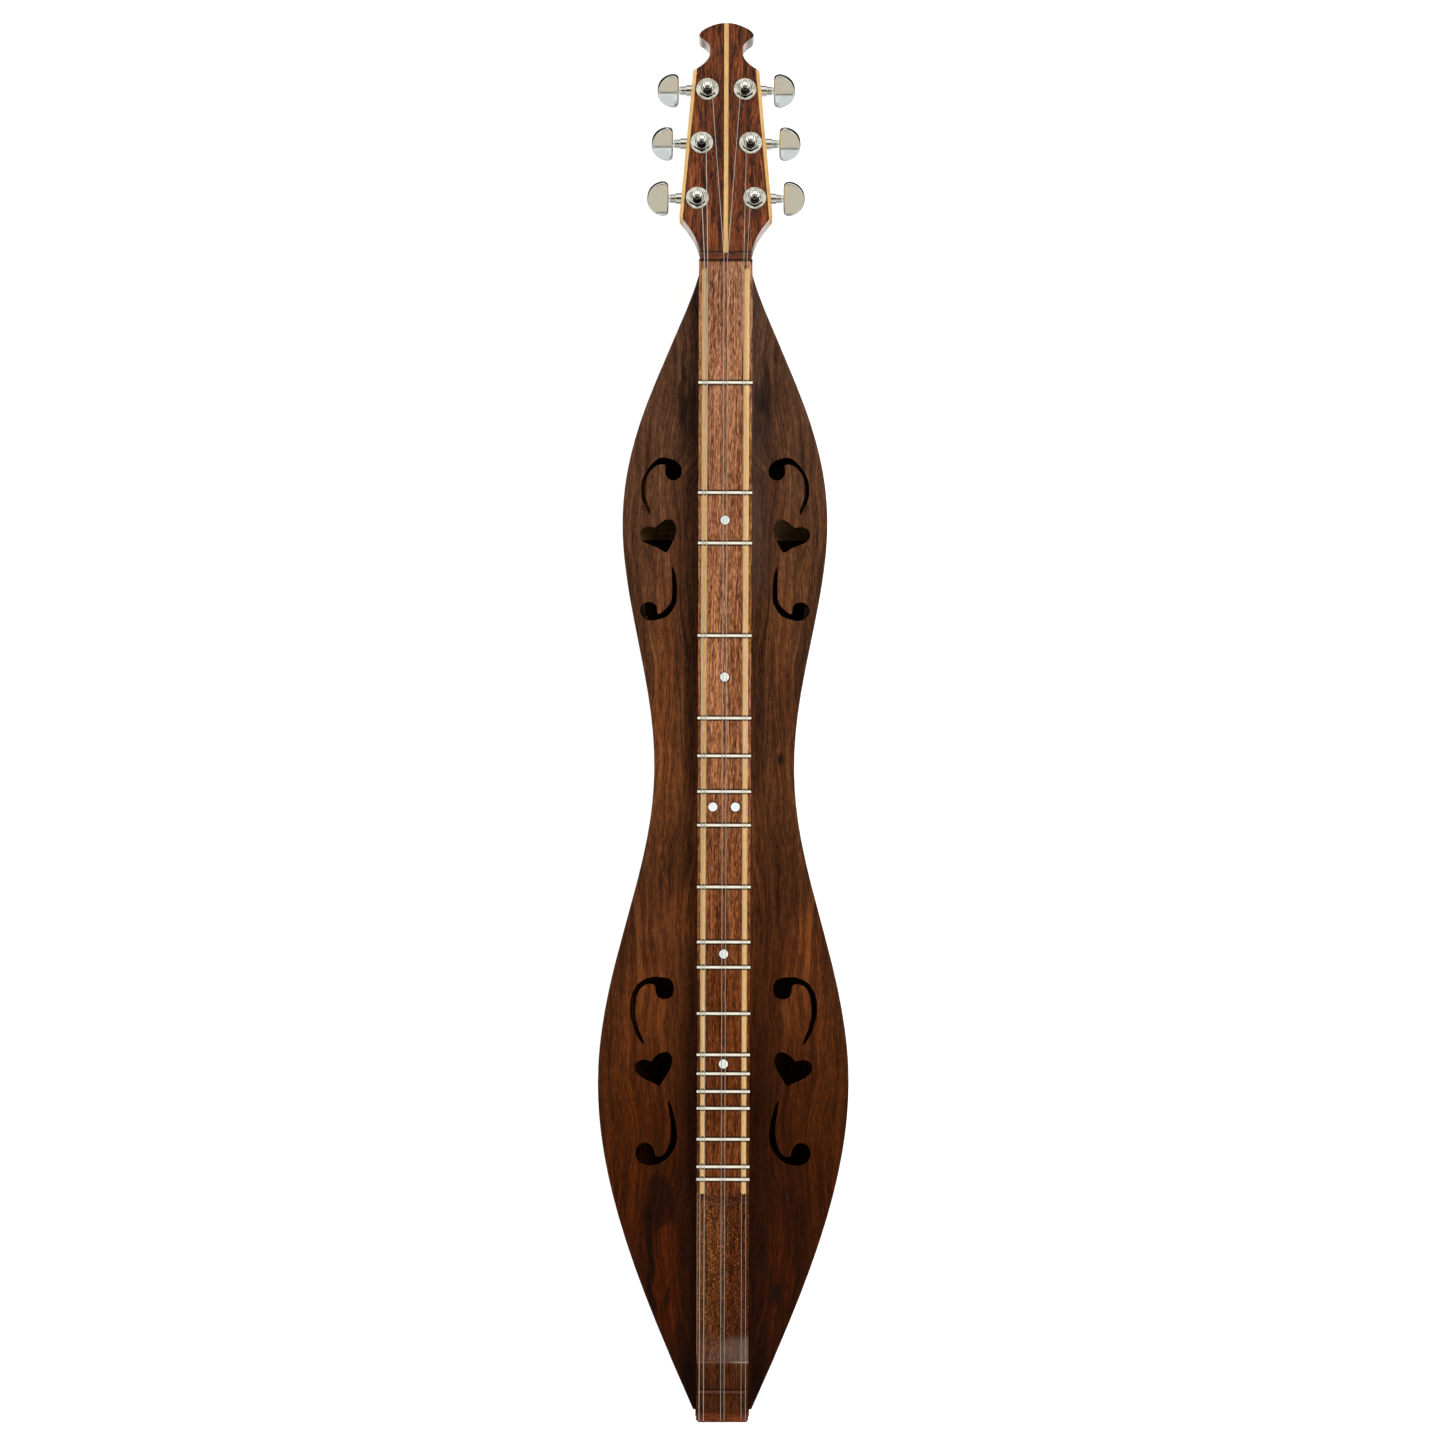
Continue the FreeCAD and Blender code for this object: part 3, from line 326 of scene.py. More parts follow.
def wood(name, colors, across=by_x, along=by_y, deep=by_z, seed=0.0, figure=1.0, fine=1.0,
         speck=1.0, warp=9.0, period=7.0, streak=0.5, pore=1.0, dense=1.0, pore_length=4.2,
         coat=0.12, rough=(0.36, 0.52), extra=None):
    """Straight-grained wood.

    colors: dark, mid, light. across, along, deep: coordinates about the grain.
    figure, fine, speck: contrast of broad figure, fibres and short flecks.
    warp, period: sideways drift and spacing of the rings. streak: strength of dark lines.
    pore, dense, pore_length: darkness, density and length of the open pores.
    extra(m, color): adds what is particular to one piece.
    """
    m = Mat(name)
    across, along, deep = across(m), along(m), deep(m)
    shift = seed * 17.3

    def grain(size, offset, at=across, **look):
        """Noise with features of size (across, along, deep) mm."""
        return m.noise(m.vec(m.mul(at, 1 / size[0]),
                             m.add(m.mul(along, 1 / size[1]), shift + offset),
                             m.mul(deep, 1 / size[2])), **look)

    big = grain((55.0, 260.0, 60.0), 0, distort=0.4)
    mid = grain((9.0, 120.0, 14.0), 3, detail=5.0, rough=0.6, distort=0.8)
    drift = grain((40.0, 120.0, 40.0), 7, detail=2.0)
    ring_at = m.add(across, m.swing(drift, warp * 4))
    ring = m.remap(m.calc("SINE", m.mul(ring_at, 2 * math.pi / period)), (-1, 1))
    ring_fine = grain((2.4, 170.0, 9.0), 11, at=ring_at, detail=4.0, rough=0.65)
    ring_finest = grain((1.1, 55.0, 5.0), 19, at=ring_at, rough=0.6)
    fibre = grain((0.36, 9.0, 0.6), 0, rough=0.65)
    fleck = grain((0.75, 3.6, 1.2), 23, detail=2.0, rough=0.6)
    dash = grain((1.25, 7.5, 2.0), 29, detail=2.0, rough=0.6)
    tone = m.swing(big, 0.8 * figure)
    for layer, amount in ((mid, 0.7 * figure), (ring, 0.10 * figure), (ring_fine, 0.60 * figure),
                          (ring_finest, 0.50 * fine), (fibre, 0.55 * fine),
                          (fleck, 1.0 * speck), (dash, 0.7 * speck)):
        tone = m.add(tone, m.swing(layer, amount))
    tone = m.calc("ADD", tone, 0.5, clamp=True)
    color = m.ramp(tone, [(0.12, colors[0]), (0.5, colors[1]), (0.9, colors[2])])

    # narrow dark lines along the grain, gathered in patches
    line = m.band(grain((1.7, 90.0, 6.0), 31, at=ring_at, detail=2.0), 0.5, 0.0, 0.035)
    gate = m.fade(grain((12.0, 60.0, 20.0), 37), (0.42, 0.62))
    color = m.mix(m.mul(m.mul(line, gate), streak), color, tuple(c * 0.45 for c in colors[0]))

    # open pores: short dark dashes along the grain
    pore_at = m.vec(m.mul(across, 1 / 0.62), m.add(m.mul(along, 1 / pore_length), shift),
                    m.mul(deep, 1 / 0.8))
    density = m.noise(m.scaled((across, along, deep), (1 / 5.0, 1 / 60.0, 1 / 5.0)), detail=2.0)
    radius = m.remap(density, (0.35, 0.65), (0.10 * dense, 0.30 * dense))
    pores = m.fade(m.voronoi(pore_at), (radius, m.mul(radius, 0.35)))
    color = m.mix(m.mul(pores, 0.8 * pore), color, tuple(c * 0.30 for c in colors[0]))
    if extra:
        color = extra(m, color)
    sheen = m.remap(m.add(m.mul(fibre, 0.6), m.mul(mid, 0.4)), (0.3, 0.7), rough)
    m.set(Base_Color=color, Roughness=sheen, Coat_Weight=coat, Coat_Roughness=0.12,
          Coat_IOR=1.35, Specular_IOR_Level=0.14)
    m.bump(m.sub(m.mul(fibre, 0.3), m.mul(pores, 0.9)), strength=0.4, distance=0.00014)
    return m


def grade(m, color, stops):
    """Multiply the colour by a factor that changes along -Y: stops are (-y, factor)."""
    low, high = stops[0][0], stops[-1][0]
    f = m.remap(m.mul(m.y, -1.0), (low, high))
    # the ramp holds half the factor, and the doubling after it restores it
    factor = m.ramp(f, [((p - low) / (high - low), tuple(0.5 * c for c in gain(*rgb)))
                        for p, rgb in stops])
    return m.mix(1.0, m.mix(1.0, color, factor, "MULTIPLY"), (2.0, 2.0, 2.0), "MULTIPLY")


# ------------------------------------------------------------------ soundboard figure
# -y, display-space factor
# paler and greyer towards +Y: partly the wood's own tone, partly a painted lacquer sheen
TOP_GRADE = [
    (-290.0, (1.08, 1.28, 1.60)), (-200.0, (1.08, 1.24, 1.52)), (-60.0, (1.13, 1.24, 1.40)),
    (60.0, (1.01, 1.06, 1.12)), (130.0, (0.93, 0.92, 0.92)), (185.0, (0.91, 0.87, 0.80)),
    (250.0, (0.74, 0.65, 0.48)), (320.0, (0.74, 0.61, 0.40)), (440.0, (0.60, 0.49, 0.36))]
# x, y, radius x, radius y, strength, brightness
FLAMES = [
    (-29.0, -88.0, 10.0, 34.0, 0.8, 0.74), (-39.5, -98.0, 1.5, 30.0, 0.8, 0.6),
    (-25.0, -124.0, 9.0, 22.0, 0.8, 1.2), (-47.0, -150.0, 10.0, 12.0, 0.6, 0.8),
    (34.0, -120.0, 16.0, 70.0, 0.8, 0.76), (35.0, -124.0, 1.5, 17.0, 0.8, 0.6),
    (55.0, -141.0, 10.0, 24.0, 0.8, 1.16), (30.0, -230.0, 14.0, 60.0, 0.7, 0.78),
    (56.0, -205.0, 12.0, 46.0, 0.5, 0.9), (-56.0, -232.0, 16.0, 34.0, 0.6, 1.1),
    (-27.0, 212.0, 3.0, 26.0, 0.9, 0.62), (26.0, 214.0, 3.2, 24.0, 0.9, 0.66),
    (-34.0, 60.0, 9.0, 40.0, 0.6, 0.86), (48.0, 96.0, 10.0, 40.0, 0.5, 1.12)]
# distance from the centre line, y, radius across, radius along, strength
WARM_PATCHES = [
    (50, -205, 24, 60, 0.2), (46, -150, 16, 46, 0.12), (38, 10, 8, 70, 0.45),
    (30, 110, 12, 50, 0.25), (33, -265, 10, 24, 0.35)]
DARK_STREAKS = [
    (80, -215, 5, 95, 0.5), (15, -260, 7, 80, 0.3), (13, -385, 6, 50, 0.4),
    (22, 205, 6, 20, 0.8), (30, 60, 4, 70, 0.35), (34, -20, 4, 70, 0.4), (60, 20, 6, 120, 0.25),
    (52, 150, 5, 60, 0.3), (62, -120, 8, 50, 0.35), (46, -300, 5, 45, 0.35)]
# x, y, radius
KNOTS = [(-35.4, -371.0, 1.5), (-34.6, -366.0, 1.0), (34.5, -367.0, 2.9),
         (36.0, -25.0, 1.5), (-36.0, 72.0, 1.2)]


def broad_tones(m, color, clouds):
    """Grading along the board, the broad differences between its halves, painted shade beside the
    fretboard and a painted grey sheen.
    """
    color = grade(m, color, TOP_GRADE)
    here = (m.x, m.y)
    color = m.stain(color, here, (-54.0, -300.0, 14.0, 40.0), 0.8, 0.8, gain(1.22, 1.18, 1.08))
    color = m.stain(color, here, (30.0, 52.0, 14.0, 40.0), 0.8, 0.8, gain(1.2, 1.18, 1.08))
    # painted shade: towards the -Y end the wood darkens beside the fretboard
    fretboard_shade = m.mul(m.fade(from_centre(m), (20.0, 46.0), (1.0, 0.0)), m.fade(m.y, (-110.0, -200.0)))
    color = m.tint(m.mul(fretboard_shade, 0.75), color, gain(0.70, 0.66, 0.6))
    # at the waist the bass half is a little warmer than the treble half
    bass = m.mul(m.blob((m.x, m.mul(m.y, 1.0)), (-34.0, 0.0, 26.0, 95.0), 0.8), 1.0)
    color = m.tint(m.mul(bass, 0.6), color, gain(1.22, 1.17, 1.04))
    color = m.stain(color, here, (44.0, 10.0, 18.0, 60.0), 0.8, 0.7, gain(0.84, 0.84, 0.88))
    # painted sheen: a grey reflection of the lacquer beside the fretboard in the upper bout of the
    # treble half
    sheen = m.mul(m.fade(m.x, (17.0, 34.0), (1.0, 0.0)),
                  m.mul(m.fade(m.y, (60.0, 110.0)), m.remap(m.x, (15.0, 16.0))))
    amount = m.remap(clouds, (0.35, 0.6), (0.08, 0.34))
    return m.mix(m.mul(sheen, amount), color, srgb(96, 82, 76))


def heart_figure(m, color):
    """Dark heart patch and streak with warm wood beside, on the bass half; paler on the other."""
    wander = m.swing(m.flat_noise(m.x, m.y, (22.0, 34.0), 9.0), 12.0)
    for side, strength in ((-1.0, 1.0), (1.0, 0.35)):
        out = m.add(m.mul(m.x, side), wander)
        color = m.stain(color, (out, m.add(m.y, m.mul(wander, 2.0))), (37.0, -358.0, 8.0, 46.0),
                        0.22, 0.75 * strength, gain(1.42, 1.30, 1.10))
        color = m.stain(color, (out, m.add(m.y, m.mul(wander, 3.0))), (40.5, -311.0, 10.0, 17.0),
                        0.25, 0.85 * strength, gain(0.56, 0.52, 0.6))
        # slanting streak: 48 mm out at y = -325, narrowing towards -Y
        path = m.add(48.0, m.mul(m.add(m.y, 325.0), 0.065))
        width = m.remap(m.y, (-320.0, -378.0), (3.2, 1.7))
        away = m.size_of(m.sub(out, path))
        inside = m.fade(m.calc("DIVIDE", away, width), (0.7, 1.15), (1.0, 0.0))
        ends = m.mul(m.fade(m.y, (-305.0, -322.0)), m.fade(m.y, (-388.0, -372.0)))
        color = m.tint(m.mul(m.mul(inside, ends), 0.85 * strength), color, (0.18, 0.18, 0.22))
    return color


def top_extra(m, color):
    """Bookmatched soundboard: warm and dark areas, flames, streaks, knots and clouding."""
    out = from_centre(m)
    clouds = m.flat_noise(out, m.y, (26.0, 70.0), 2.0, rough=0.55, distort=0.6)
    ripple = m.flat_noise(out, m.y, (9.0, 32.0), 5.0, detail=4.0, rough=0.6, distort=0.5)
    color = broad_tones(m, color, clouds)

    # flame figure: dark tongues by the fretboard, orange wood beside them
    flicker = m.flat_noise(m.x, m.y, (16.0, 24.0), 14.0, detail=4.0, rough=0.55)
    at = (m.add(m.x, m.swing(flicker, 16.0)), m.add(m.y, m.swing(ripple, 26.0)))
    for *ellipse, strength, k in FLAMES:
        green, blue = (0.97, 0.97) if k < 1 else (0.98, 0.9)
        color = m.stain(color, at, ellipse, 0.45, strength, gain(k, k * green, k * blue))

    # patches and streaks mirrored about the centre line
    at = (m.add(out, m.swing(clouds, 20.0)), m.add(m.y, m.swing(ripple, 40.0)))
    for *ellipse, strength in WARM_PATCHES:
        color = m.stain(color, at, ellipse, 0.7, strength, gain(1.36, 1.26, 1.15))
    for *ellipse, strength in DARK_STREAKS:
        color = m.stain(color, at, ellipse, 0.85, strength, (0.42, 0.42, 0.46))
    color = heart_figure(m, color)

    for x, y, radius in KNOTS:
        away = m.length(m.sub(m.x, x), m.mul(m.sub(m.y, y), 0.45))  # drawn out along the grain
        away = m.add(away, m.swing(ripple, 2.2))
        knot = m.fade(away, (radius * 0.4, radius * 1.9), (1.0, 0.0))
        color = m.mix(m.mul(knot, 0.85), color, (0.006, 0.003, 0.002))
    # mineral clouding
    return m.tint(m.fade(clouds, (0.35, 0.75), (0.0, 0.3)), color, (0.70, 0.66, 0.68))


# ------------------------------------------------------------------ fretboard, trim and peghead
# -y, display-space factor
# the lighter grey stops from -y 400 to 409 are a painted sheen on the concave end of the hollow
BOARD_GRADE = [
    (-296.0, (1.10, 1.10, 1.15)), (-180.0, (1.02, 0.97, 0.95)), (20.0, (1.08, 1.01, 0.95)),
    (120.0, (0.92, 0.80, 0.68)), (180.0, (0.71, 0.55, 0.40)), (270.0, (0.76, 0.61, 0.46)),
    (296.0, (0.75, 0.59, 0.44)), (303.0, (0.60, 0.51, 0.42)), (392.0, (0.50, 0.41, 0.34)),
    (400.0, (0.64, 0.58, 0.58)), (409.0, (0.68, 0.63, 0.64)), (411.0, (0.50, 0.40, 0.30)),
    (436.0, (0.47, 0.37, 0.28))]


def fret_shadows(m):
    return [m.band(m.y, y, 1.6, 2.1) for y in FRET_YS]


def near_board_top(m):
    return m.remap(m.z, (BOARD_TOP - 1.2, BOARD_TOP - 0.4))


def strum_hollow(m, color):
    """The scooped hollow from y = -300 to -410."""
    upward = m.remap(m.normal()[2], (0.35, 0.6))
    hollow = m.mul(m.mul(m.remap(m.y, (-300.0, -304.0)), m.remap(m.y, (-398.0, -392.0))), upward)
    # open cross-cut fibres, over a tone that falls from -X to +X
    cut = m.flat_noise(m.x, m.y, (0.9, 1.5), 4.0, rough=0.7)
    for f, factor in ((m.fade(m.x, (3.0, -4.0)), gain(1.0, 1.02, 0.95)),
                      (m.fade(m.x, (1.0, 6.0), (0.0, 0.8)), gain(0.80, 0.70, 0.58)),
                      (m.remap(cut, (0.50, 0.62), (0.0, 0.9)), gain(1.75, 1.7, 1.65)),
                      (m.remap(cut, (0.48, 0.38), (0.0, 0.9)), gain(0.45, 0.42, 0.4))):
        color = m.tint(m.mul(hollow, f), color, factor)
    # light caught by the concave -Y end, starting along a slant
    depth = m.add(m.add(m.y, 392.0), m.mul(m.fade(m.x, (-14.0, 8.0), (1.0, 0.0)), 15.0))
    lift = m.mul(m.mul(m.fade(depth, (0.0, -7.0)), m.remap(m.y, (-410.2, -409.4))), upward)
    lift = m.mul(lift, m.remap(m.x, (-12.0, 13.0), (0.1, 0.62)))
    lift = m.mul(lift, m.remap(cut, (0.3, 0.7), (0.5, 1.0)))
    color = m.mix(lift, color, srgb(112, 100, 92))
    # painted highlight along the lip at that end, greyer on the +X side
    lip_highlight = m.mul(m.remap(m.size_of(m.add(m.y, 410.0)), (0.25, 0.6), (1.0, 0.0)), upward)
    lip_highlight_color = m.mix(m.remap(m.x, (4.0, 10.0)), srgb(128, 84, 60), srgb(168, 160, 150))
    color = m.mix(m.mul(lip_highlight, 0.8), color, lip_highlight_color)
    # painted highlight along the -X edge of the hollow
    edge = m.mul(m.band(m.x, BOARD_LEFT + 0.45, 0.3, 0.7, smooth=False),
                 m.mul(m.remap(m.y, (-300.0, -303.0)), m.remap(m.y, (-409.0, -404.0))))
    return m.mix(m.mul(m.mul(edge, upward), 0.85), color, srgb(168, 128, 92))


def board_extra(m, color):
    """Pale at the nut, darker towards -Y; painted shadows beside the frets, saddle and nut, and
    dark rings round the dots.
    """
    color = strum_hollow(m, grade(m, color, BOARD_GRADE))
    shadows_and_dot_rings = fret_shadows(m)
    for y, half_width in ((SADDLE[0][1], 0.9), (SADDLE[1][1], 0.9), (NUT[0][1], 1.9)):
        shadows_and_dot_rings.append(m.band(m.y, y, half_width * 0.6, half_width * 1.1))
    for x, y in DOTS:
        away = m.length(m.sub(m.x, x), m.sub(m.y, y))
        shadows_and_dot_rings.append(m.fade(away, (3.25, 3.75), (1.0, 0.0)))
    dark = m.mul(m.highest(shadows_and_dot_rings), near_board_top(m))
    return m.mix(m.mul(dark, 0.9), color, (0.010, 0.006, 0.004))


def trim_extra(m, color):
    dark = m.mul(m.highest(fret_shadows(m)), near_board_top(m))
    return m.mix(m.mul(dark, 0.85), color, srgb(60, 36, 18))


def head_extra(m, color):
    """Long wavy dark figure, and a painted shadow line where the peghead meets the nut."""
    wave = m.flat_noise(m.x, m.y, (16.0, 55.0), 8.0, distort=0.6)
    at = m.add(m.x, m.swing(wave, 20.0))
    line = m.band(m.flat_noise(at, m.y, (2.6, 70.0), 3.0, rough=0.6), 0.5, 0.012, 0.055)
    gate = m.fade(m.flat_noise(at, m.y, (3.0, 40.0), 12.0, detail=2.0), (0.34, 0.5))
    color = m.tint(m.mul(m.mul(line, gate), 0.9), color, gain(0.34, 0.27, 0.25))
    wide = m.flat_noise(at, m.y, (7.0, 120.0), 6.0, detail=2.0)
    color = m.tint(m.fade(wide, (0.5, 0.64), (0.0, 0.6)), color, gain(0.66, 0.58, 0.54))
    # painted shadow beside the nut
    nut_shade_line = m.band(m.y, NUT[1][1], 0.9, 1.9)
    return m.mix(m.mul(nut_shade_line, 0.9), color, (0.012, 0.005, 0.003))


def painted_edge_glow(m, tilt):
    """A painted pale glow on sawn edges that face -Y, standing in for the shine of thick lacquer
    seen nearly along its face.

    tilt is the angle of the top face about X, which stays free of the shine.
    """
    normal = m.normal()
    upright = m.add(m.mul(normal[1], math.sin(tilt)), m.mul(normal[2], math.cos(tilt)))
    shine = m.mul(m.remap(upright, (0.35, 0.6), (1.0, 0.0)), m.fade(normal[1], (-0.12, -0.45)))
    shine = m.mul(shine, m.fade(m.facing(), (0.66, 0.80)))
    cloud = m.noise(m.scaled((m.x, m.y, m.z), (0.2, 0.2, 0.6)))
    m.set(Emission_Color=m.mix(m.remap(cloud, (0.35, 0.65)),
                               srgb(176, 172, 168), srgb(222, 222, 220)),
          Emission_Strength=m.mul(shine, 0.85))


# ------------------------------------------------------------------ wooden pieces
WALNUT = (srgb(30, 14, 7), srgb(80, 43, 21), srgb(128, 75, 40))
SPRUCE = (srgb(150, 116, 66), srgb(190, 154, 96), srgb(214, 182, 124))
# unlacquered wood inside the body
BARE = dict(figure=0.5, coat=0.0, rough=(0.55, 0.7), warp=2.0, period=2.0)

assign(wood("walnut_soundboard", WALNUT, across=from_centre, seed=1, extra=top_extra, figure=0.85,
            fine=1.55, speck=0.5, streak=0.6, dense=1.2, pore_length=8.0),
       "soundboard_treble", "soundboard_bass")
assign(wood("walnut_back", WALNUT, across=from_centre, seed=5, figure=1.15, fine=1.5, speck=0.5,
            streak=0.6, dense=1.2, pore_length=9.0),
       "back_treble", "back_bass")
assign(wood("walnut_rib", WALNUT, across=by_z, deep=lambda m: m.mul(from_centre(m), 0.15), seed=9,
            fine=1.5, speck=0.45, streak=0.7, dense=1.2, pore_length=10.0, warp=5.0),
       "rib_treble", "rib_bass")
assign(wood("walnut_fretboard_wood", (srgb(52, 24, 12), srgb(146, 95, 62), srgb(214, 160, 120)),
            seed=13, figure=0.45, fine=2.1, warp=3.0, period=4.0, dense=1.5, speck=1.1,
            pore_length=8.0, streak=0.7, extra=board_extra),
       "fretboard")
peghead = wood("rosewood_peghead", (srgb(30, 10, 4), srgb(126, 64, 32), srgb(182, 102, 56)),
               seed=21, figure=1.1, pore_length=8.0, fine=1.6, warp=6.0, period=5.0, coat=0.3,
               rough=(0.26, 0.4), streak=1.0, speck=0.7, extra=head_extra)
painted_edge_glow(peghead, tilt=math.radians(11.0))
assign(peghead, "peghead_treble_half", "peghead_bass_half")
assign(wood("mahogany_end_cap", (srgb(50, 20, 8), srgb(96, 46, 21), srgb(128, 66, 32)),
            fine=1.3, speck=1.2, seed=27, figure=0.6, **CROSSWISE),
       "tail_cap")
assign(wood("rosewood_nut_saddle", (srgb(48, 20, 12), srgb(100, 50, 30), srgb(130, 72, 46)),
            fine=1.3, speck=1.2, seed=31, figure=0.6, coat=0.5, **CROSSWISE),
       "nut", "saddle")
assign(wood("maple_trim_wood", (srgb(205, 150, 84), srgb(242, 196, 126), srgb(255, 224, 164)),
            seed=37, figure=0.6, extra=trim_extra, streak=0.1, speck=0.5, pore=0.12, fine=0.7,
            warp=2.0, period=2.5, coat=0.5, rough=(0.28, 0.4)),
       "fretboard_inlay_strips", "peghead_center_strip", "peghead_edge_strips")
assign(wood("spruce_inside_wood", SPRUCE, seed=41, pore=0.1, **CROSSWISE, **BARE),
       "soundboard_braces", "back_braces", "tail_block")
assign(wood("spruce_lining_wood", SPRUCE, across=by_z, seed=43, pore=0.1, **BARE),
       "back_linings")
# near-black colours: painted shade inside the body under the soundboard
assign(wood("walnut_lining_painted_shade", (srgb(10, 5, 3), srgb(20, 11, 6), srgb(32, 19, 11)),
            across=by_z, seed=47, **BARE),
       "top_linings")


# ------------------------------------------------------------------ metals
def metal(name, color, rough, var=0.06, scratch=0.15, metallic=1.0, mottle=0.0, gap=None,
          cap=0.0, rim=0.0):
    """Worn metal; color is a colour, or a function of the material that gives one.

    rough, var: roughness and its spread. scratch: height of fine lines along X.
    mottle: strength of large dull patches. gap: the normal's y where slopes that face -Y start to
    take a painted dark reflection. cap: painted highlight glow on flat tops. rim: painted
    darkening where seen edge-on.
    """
    m = Mat(name)
    place = (m.x, m.y, m.z)
    wear = m.noise(m.vec(*place), scale=0.35, detail=4.0, rough=0.6)
    lines = m.noise(m.scaled(place, (0.25, 6.0, 6.0)), detail=2.0, rough=0.6)
    if callable(color):
        shade = color(m)
    else:
        shade = m.mix(m.remap(wear, (0.35, 0.7), (0.0, 0.5)), color,
                      tuple(c * (1 - var * 2) for c in color))
    if mottle:
        patches = m.noise(m.scaled(place, (0.22, 0.22, 0.22)), rough=0.6, distort=0.5)
        shade = m.mix(m.fade(patches, (0.40, 0.62), (0.0, mottle)), shade,
                      tuple(c * k for c, k in zip(color, (0.42, 0.43, 0.38))))
    # painted dark reflection on slopes that face -Y
    if gap is not None:
        normal = m.normal()
        slope = m.mul(m.remap(normal[1], (-0.97, -0.90)), m.remap(normal[2], (0.10, 0.25)))
        shade = m.mix(m.mul(m.fade(normal[1], (gap, gap - 0.16)), slope), shade,
                      (0.010, 0.010, 0.009))
    # painted highlight: flat tops glow
    if cap:
        normal = m.normal()
        m.set(Emission_Color=(1.0, 1.0, 0.97),
              Emission_Strength=m.mul(m.fade(normal[2], (0.90, 0.97), (0.0, cap)),
                                      m.remap(normal[1], (0.02, 0.14))))
    # painted darkening where the metal is seen edge-on
    if rim:
        shade = m.mix(m.fade(m.facing(), (0.55, 0.82), (0.0, rim)), shade, (0.02, 0.02, 0.018))
        m.set(Specular_Tint=(0.12, 0.12, 0.11))
    roughness = m.remap(m.add(m.mul(wear, 0.6), m.mul(lines, 0.4)), (0.3, 0.7),
                        (max(0.02, rough - var), rough + var))
    m.set(Base_Color=shade, Metallic=metallic, Roughness=roughness)
    m.bump(m.add(m.mul(lines, scratch), m.mul(wear, 0.2)), strength=0.12, distance=0.00005)
    return m


def fret_color(m):
    """Painted highlight on each fret's crown and painted shade on its flanks, with worn spots."""
    away = 9.0
    for y in FRET_YS:
        away = m.calc("MINIMUM", away, m.size_of(m.sub(m.y, y)))
    painted_crown_and_flanks = m.ramp(m.remap(away, (0.5, 0.95)), [
        (0.0, (1.0, 0.98, 0.88)), (0.5, srgb(190, 176, 140)), (1.0, srgb(84, 66, 44))])
    worn = m.flat_noise(m.x, m.y, (1.4, 0.8), 1.0, rough=0.6)
    return m.tint(m.remap(worn, (0.5, 0.72), (0.0, 0.5)), painted_crown_and_flanks, srgb(196, 188, 168))


CHROME = dict(color=(0.86, 0.855, 0.83), rough=0.085, var=0.035, scratch=0.1, rim=0.9)
assign(metal("chrome_plate", **CHROME),
       "tuner_housings", "tuner_mount_screws", *tagged("worm_shaft"))

# painted reflection: seen in mirrors, each button is a pale glow instead of its dark underside,
# which brightens the lower faces of its neighbours
button = metal("chrome_button_plate", **CHROME)
button.surface(button.mix_shader(button.node("LightPath").outputs["Is Glossy Ray"],
                                 button.principled.outputs[0],
                                 button.glow(srgb(216, 224, 226))))
assign(button, *tagged("tuner_button"))

assign(metal("chrome_washer", (0.80, 0.80, 0.76), rough=0.11, var=0.04, scratch=0.2, rim=0.9,
             mottle=0.75),
       "tuner_washers")
assign(metal("chrome_bushing", (0.74, 0.74, 0.71), rough=0.09, var=0.04, scratch=0.2, rim=0.95,
             mottle=0.6, gap=-0.18),
       "tuner_bushings")
assign(metal("chrome_post", (0.93, 0.93, 0.90), rough=0.07, var=0.03, scratch=0.1, rim=0.95,
             gap=-0.3, cap=0.8),
       *tagged("string_post"))
nickel = metal("nickel_silver_frets", fret_color, rough=0.30, var=0.05, scratch=0.4,
               metallic=0.15)
# a faint painted glow brightens the frets
nickel.set(Emission_Color=srgb(255, 248, 226), Emission_Strength=0.12)
assign(nickel, "frets")
assign(metal("wound_coil_steel", (0.17, 0.165, 0.155), rough=0.36, var=0.05, scratch=0.5),
       *tagged("string_winding"))
assign(metal("plain_string_steel", (0.80, 0.80, 0.78), rough=0.34, var=0.05, scratch=0.4),
       "strings_bass_course", "strings_middle_course", "strings_melody_course")
assign(metal("brass_gear_metal", (0.80, 0.60, 0.28), rough=0.25, scratch=0.4),
       "hitch_pins", *tagged("worm_gear"))


# ------------------------------------------------------------------ pearl position dots
def pearl():
    m = Mat("pearl_shell")
    cloud = m.noise(m.vec(m.x, m.y, m.z), scale=0.28, rough=0.55, distort=1.2)
    vein = m.noise(m.vec(m.mul(m.x, 0.5), m.mul(m.y, 1.4), m.z), detail=4.0, rough=0.6,
                   distort=2.0)
    color = m.ramp(cloud, [(0.25, srgb(232, 240, 230)), (0.45, srgb(252, 250, 240)),
                           (0.6, srgb(238, 246, 252)), (0.8, srgb(255, 244, 240))])
    color = m.mix(m.remap(vein, (0.45, 0.7), (0.0, 0.3)), color, srgb(206, 214, 198))
    # the faint emission is a painted glow that brightens the shell
    m.set(Base_Color=color, Roughness=0.25, Coat_Weight=0.25, Coat_Roughness=0.08,
          Sheen_Weight=0.1, Specular_IOR_Level=0.25,
          Emission_Color=(1.0, 1.0, 0.96), Emission_Strength=0.10)
    m.bump(vein, strength=0.1, distance=0.0001)
    return m


assign(pearl(), "position_dots")

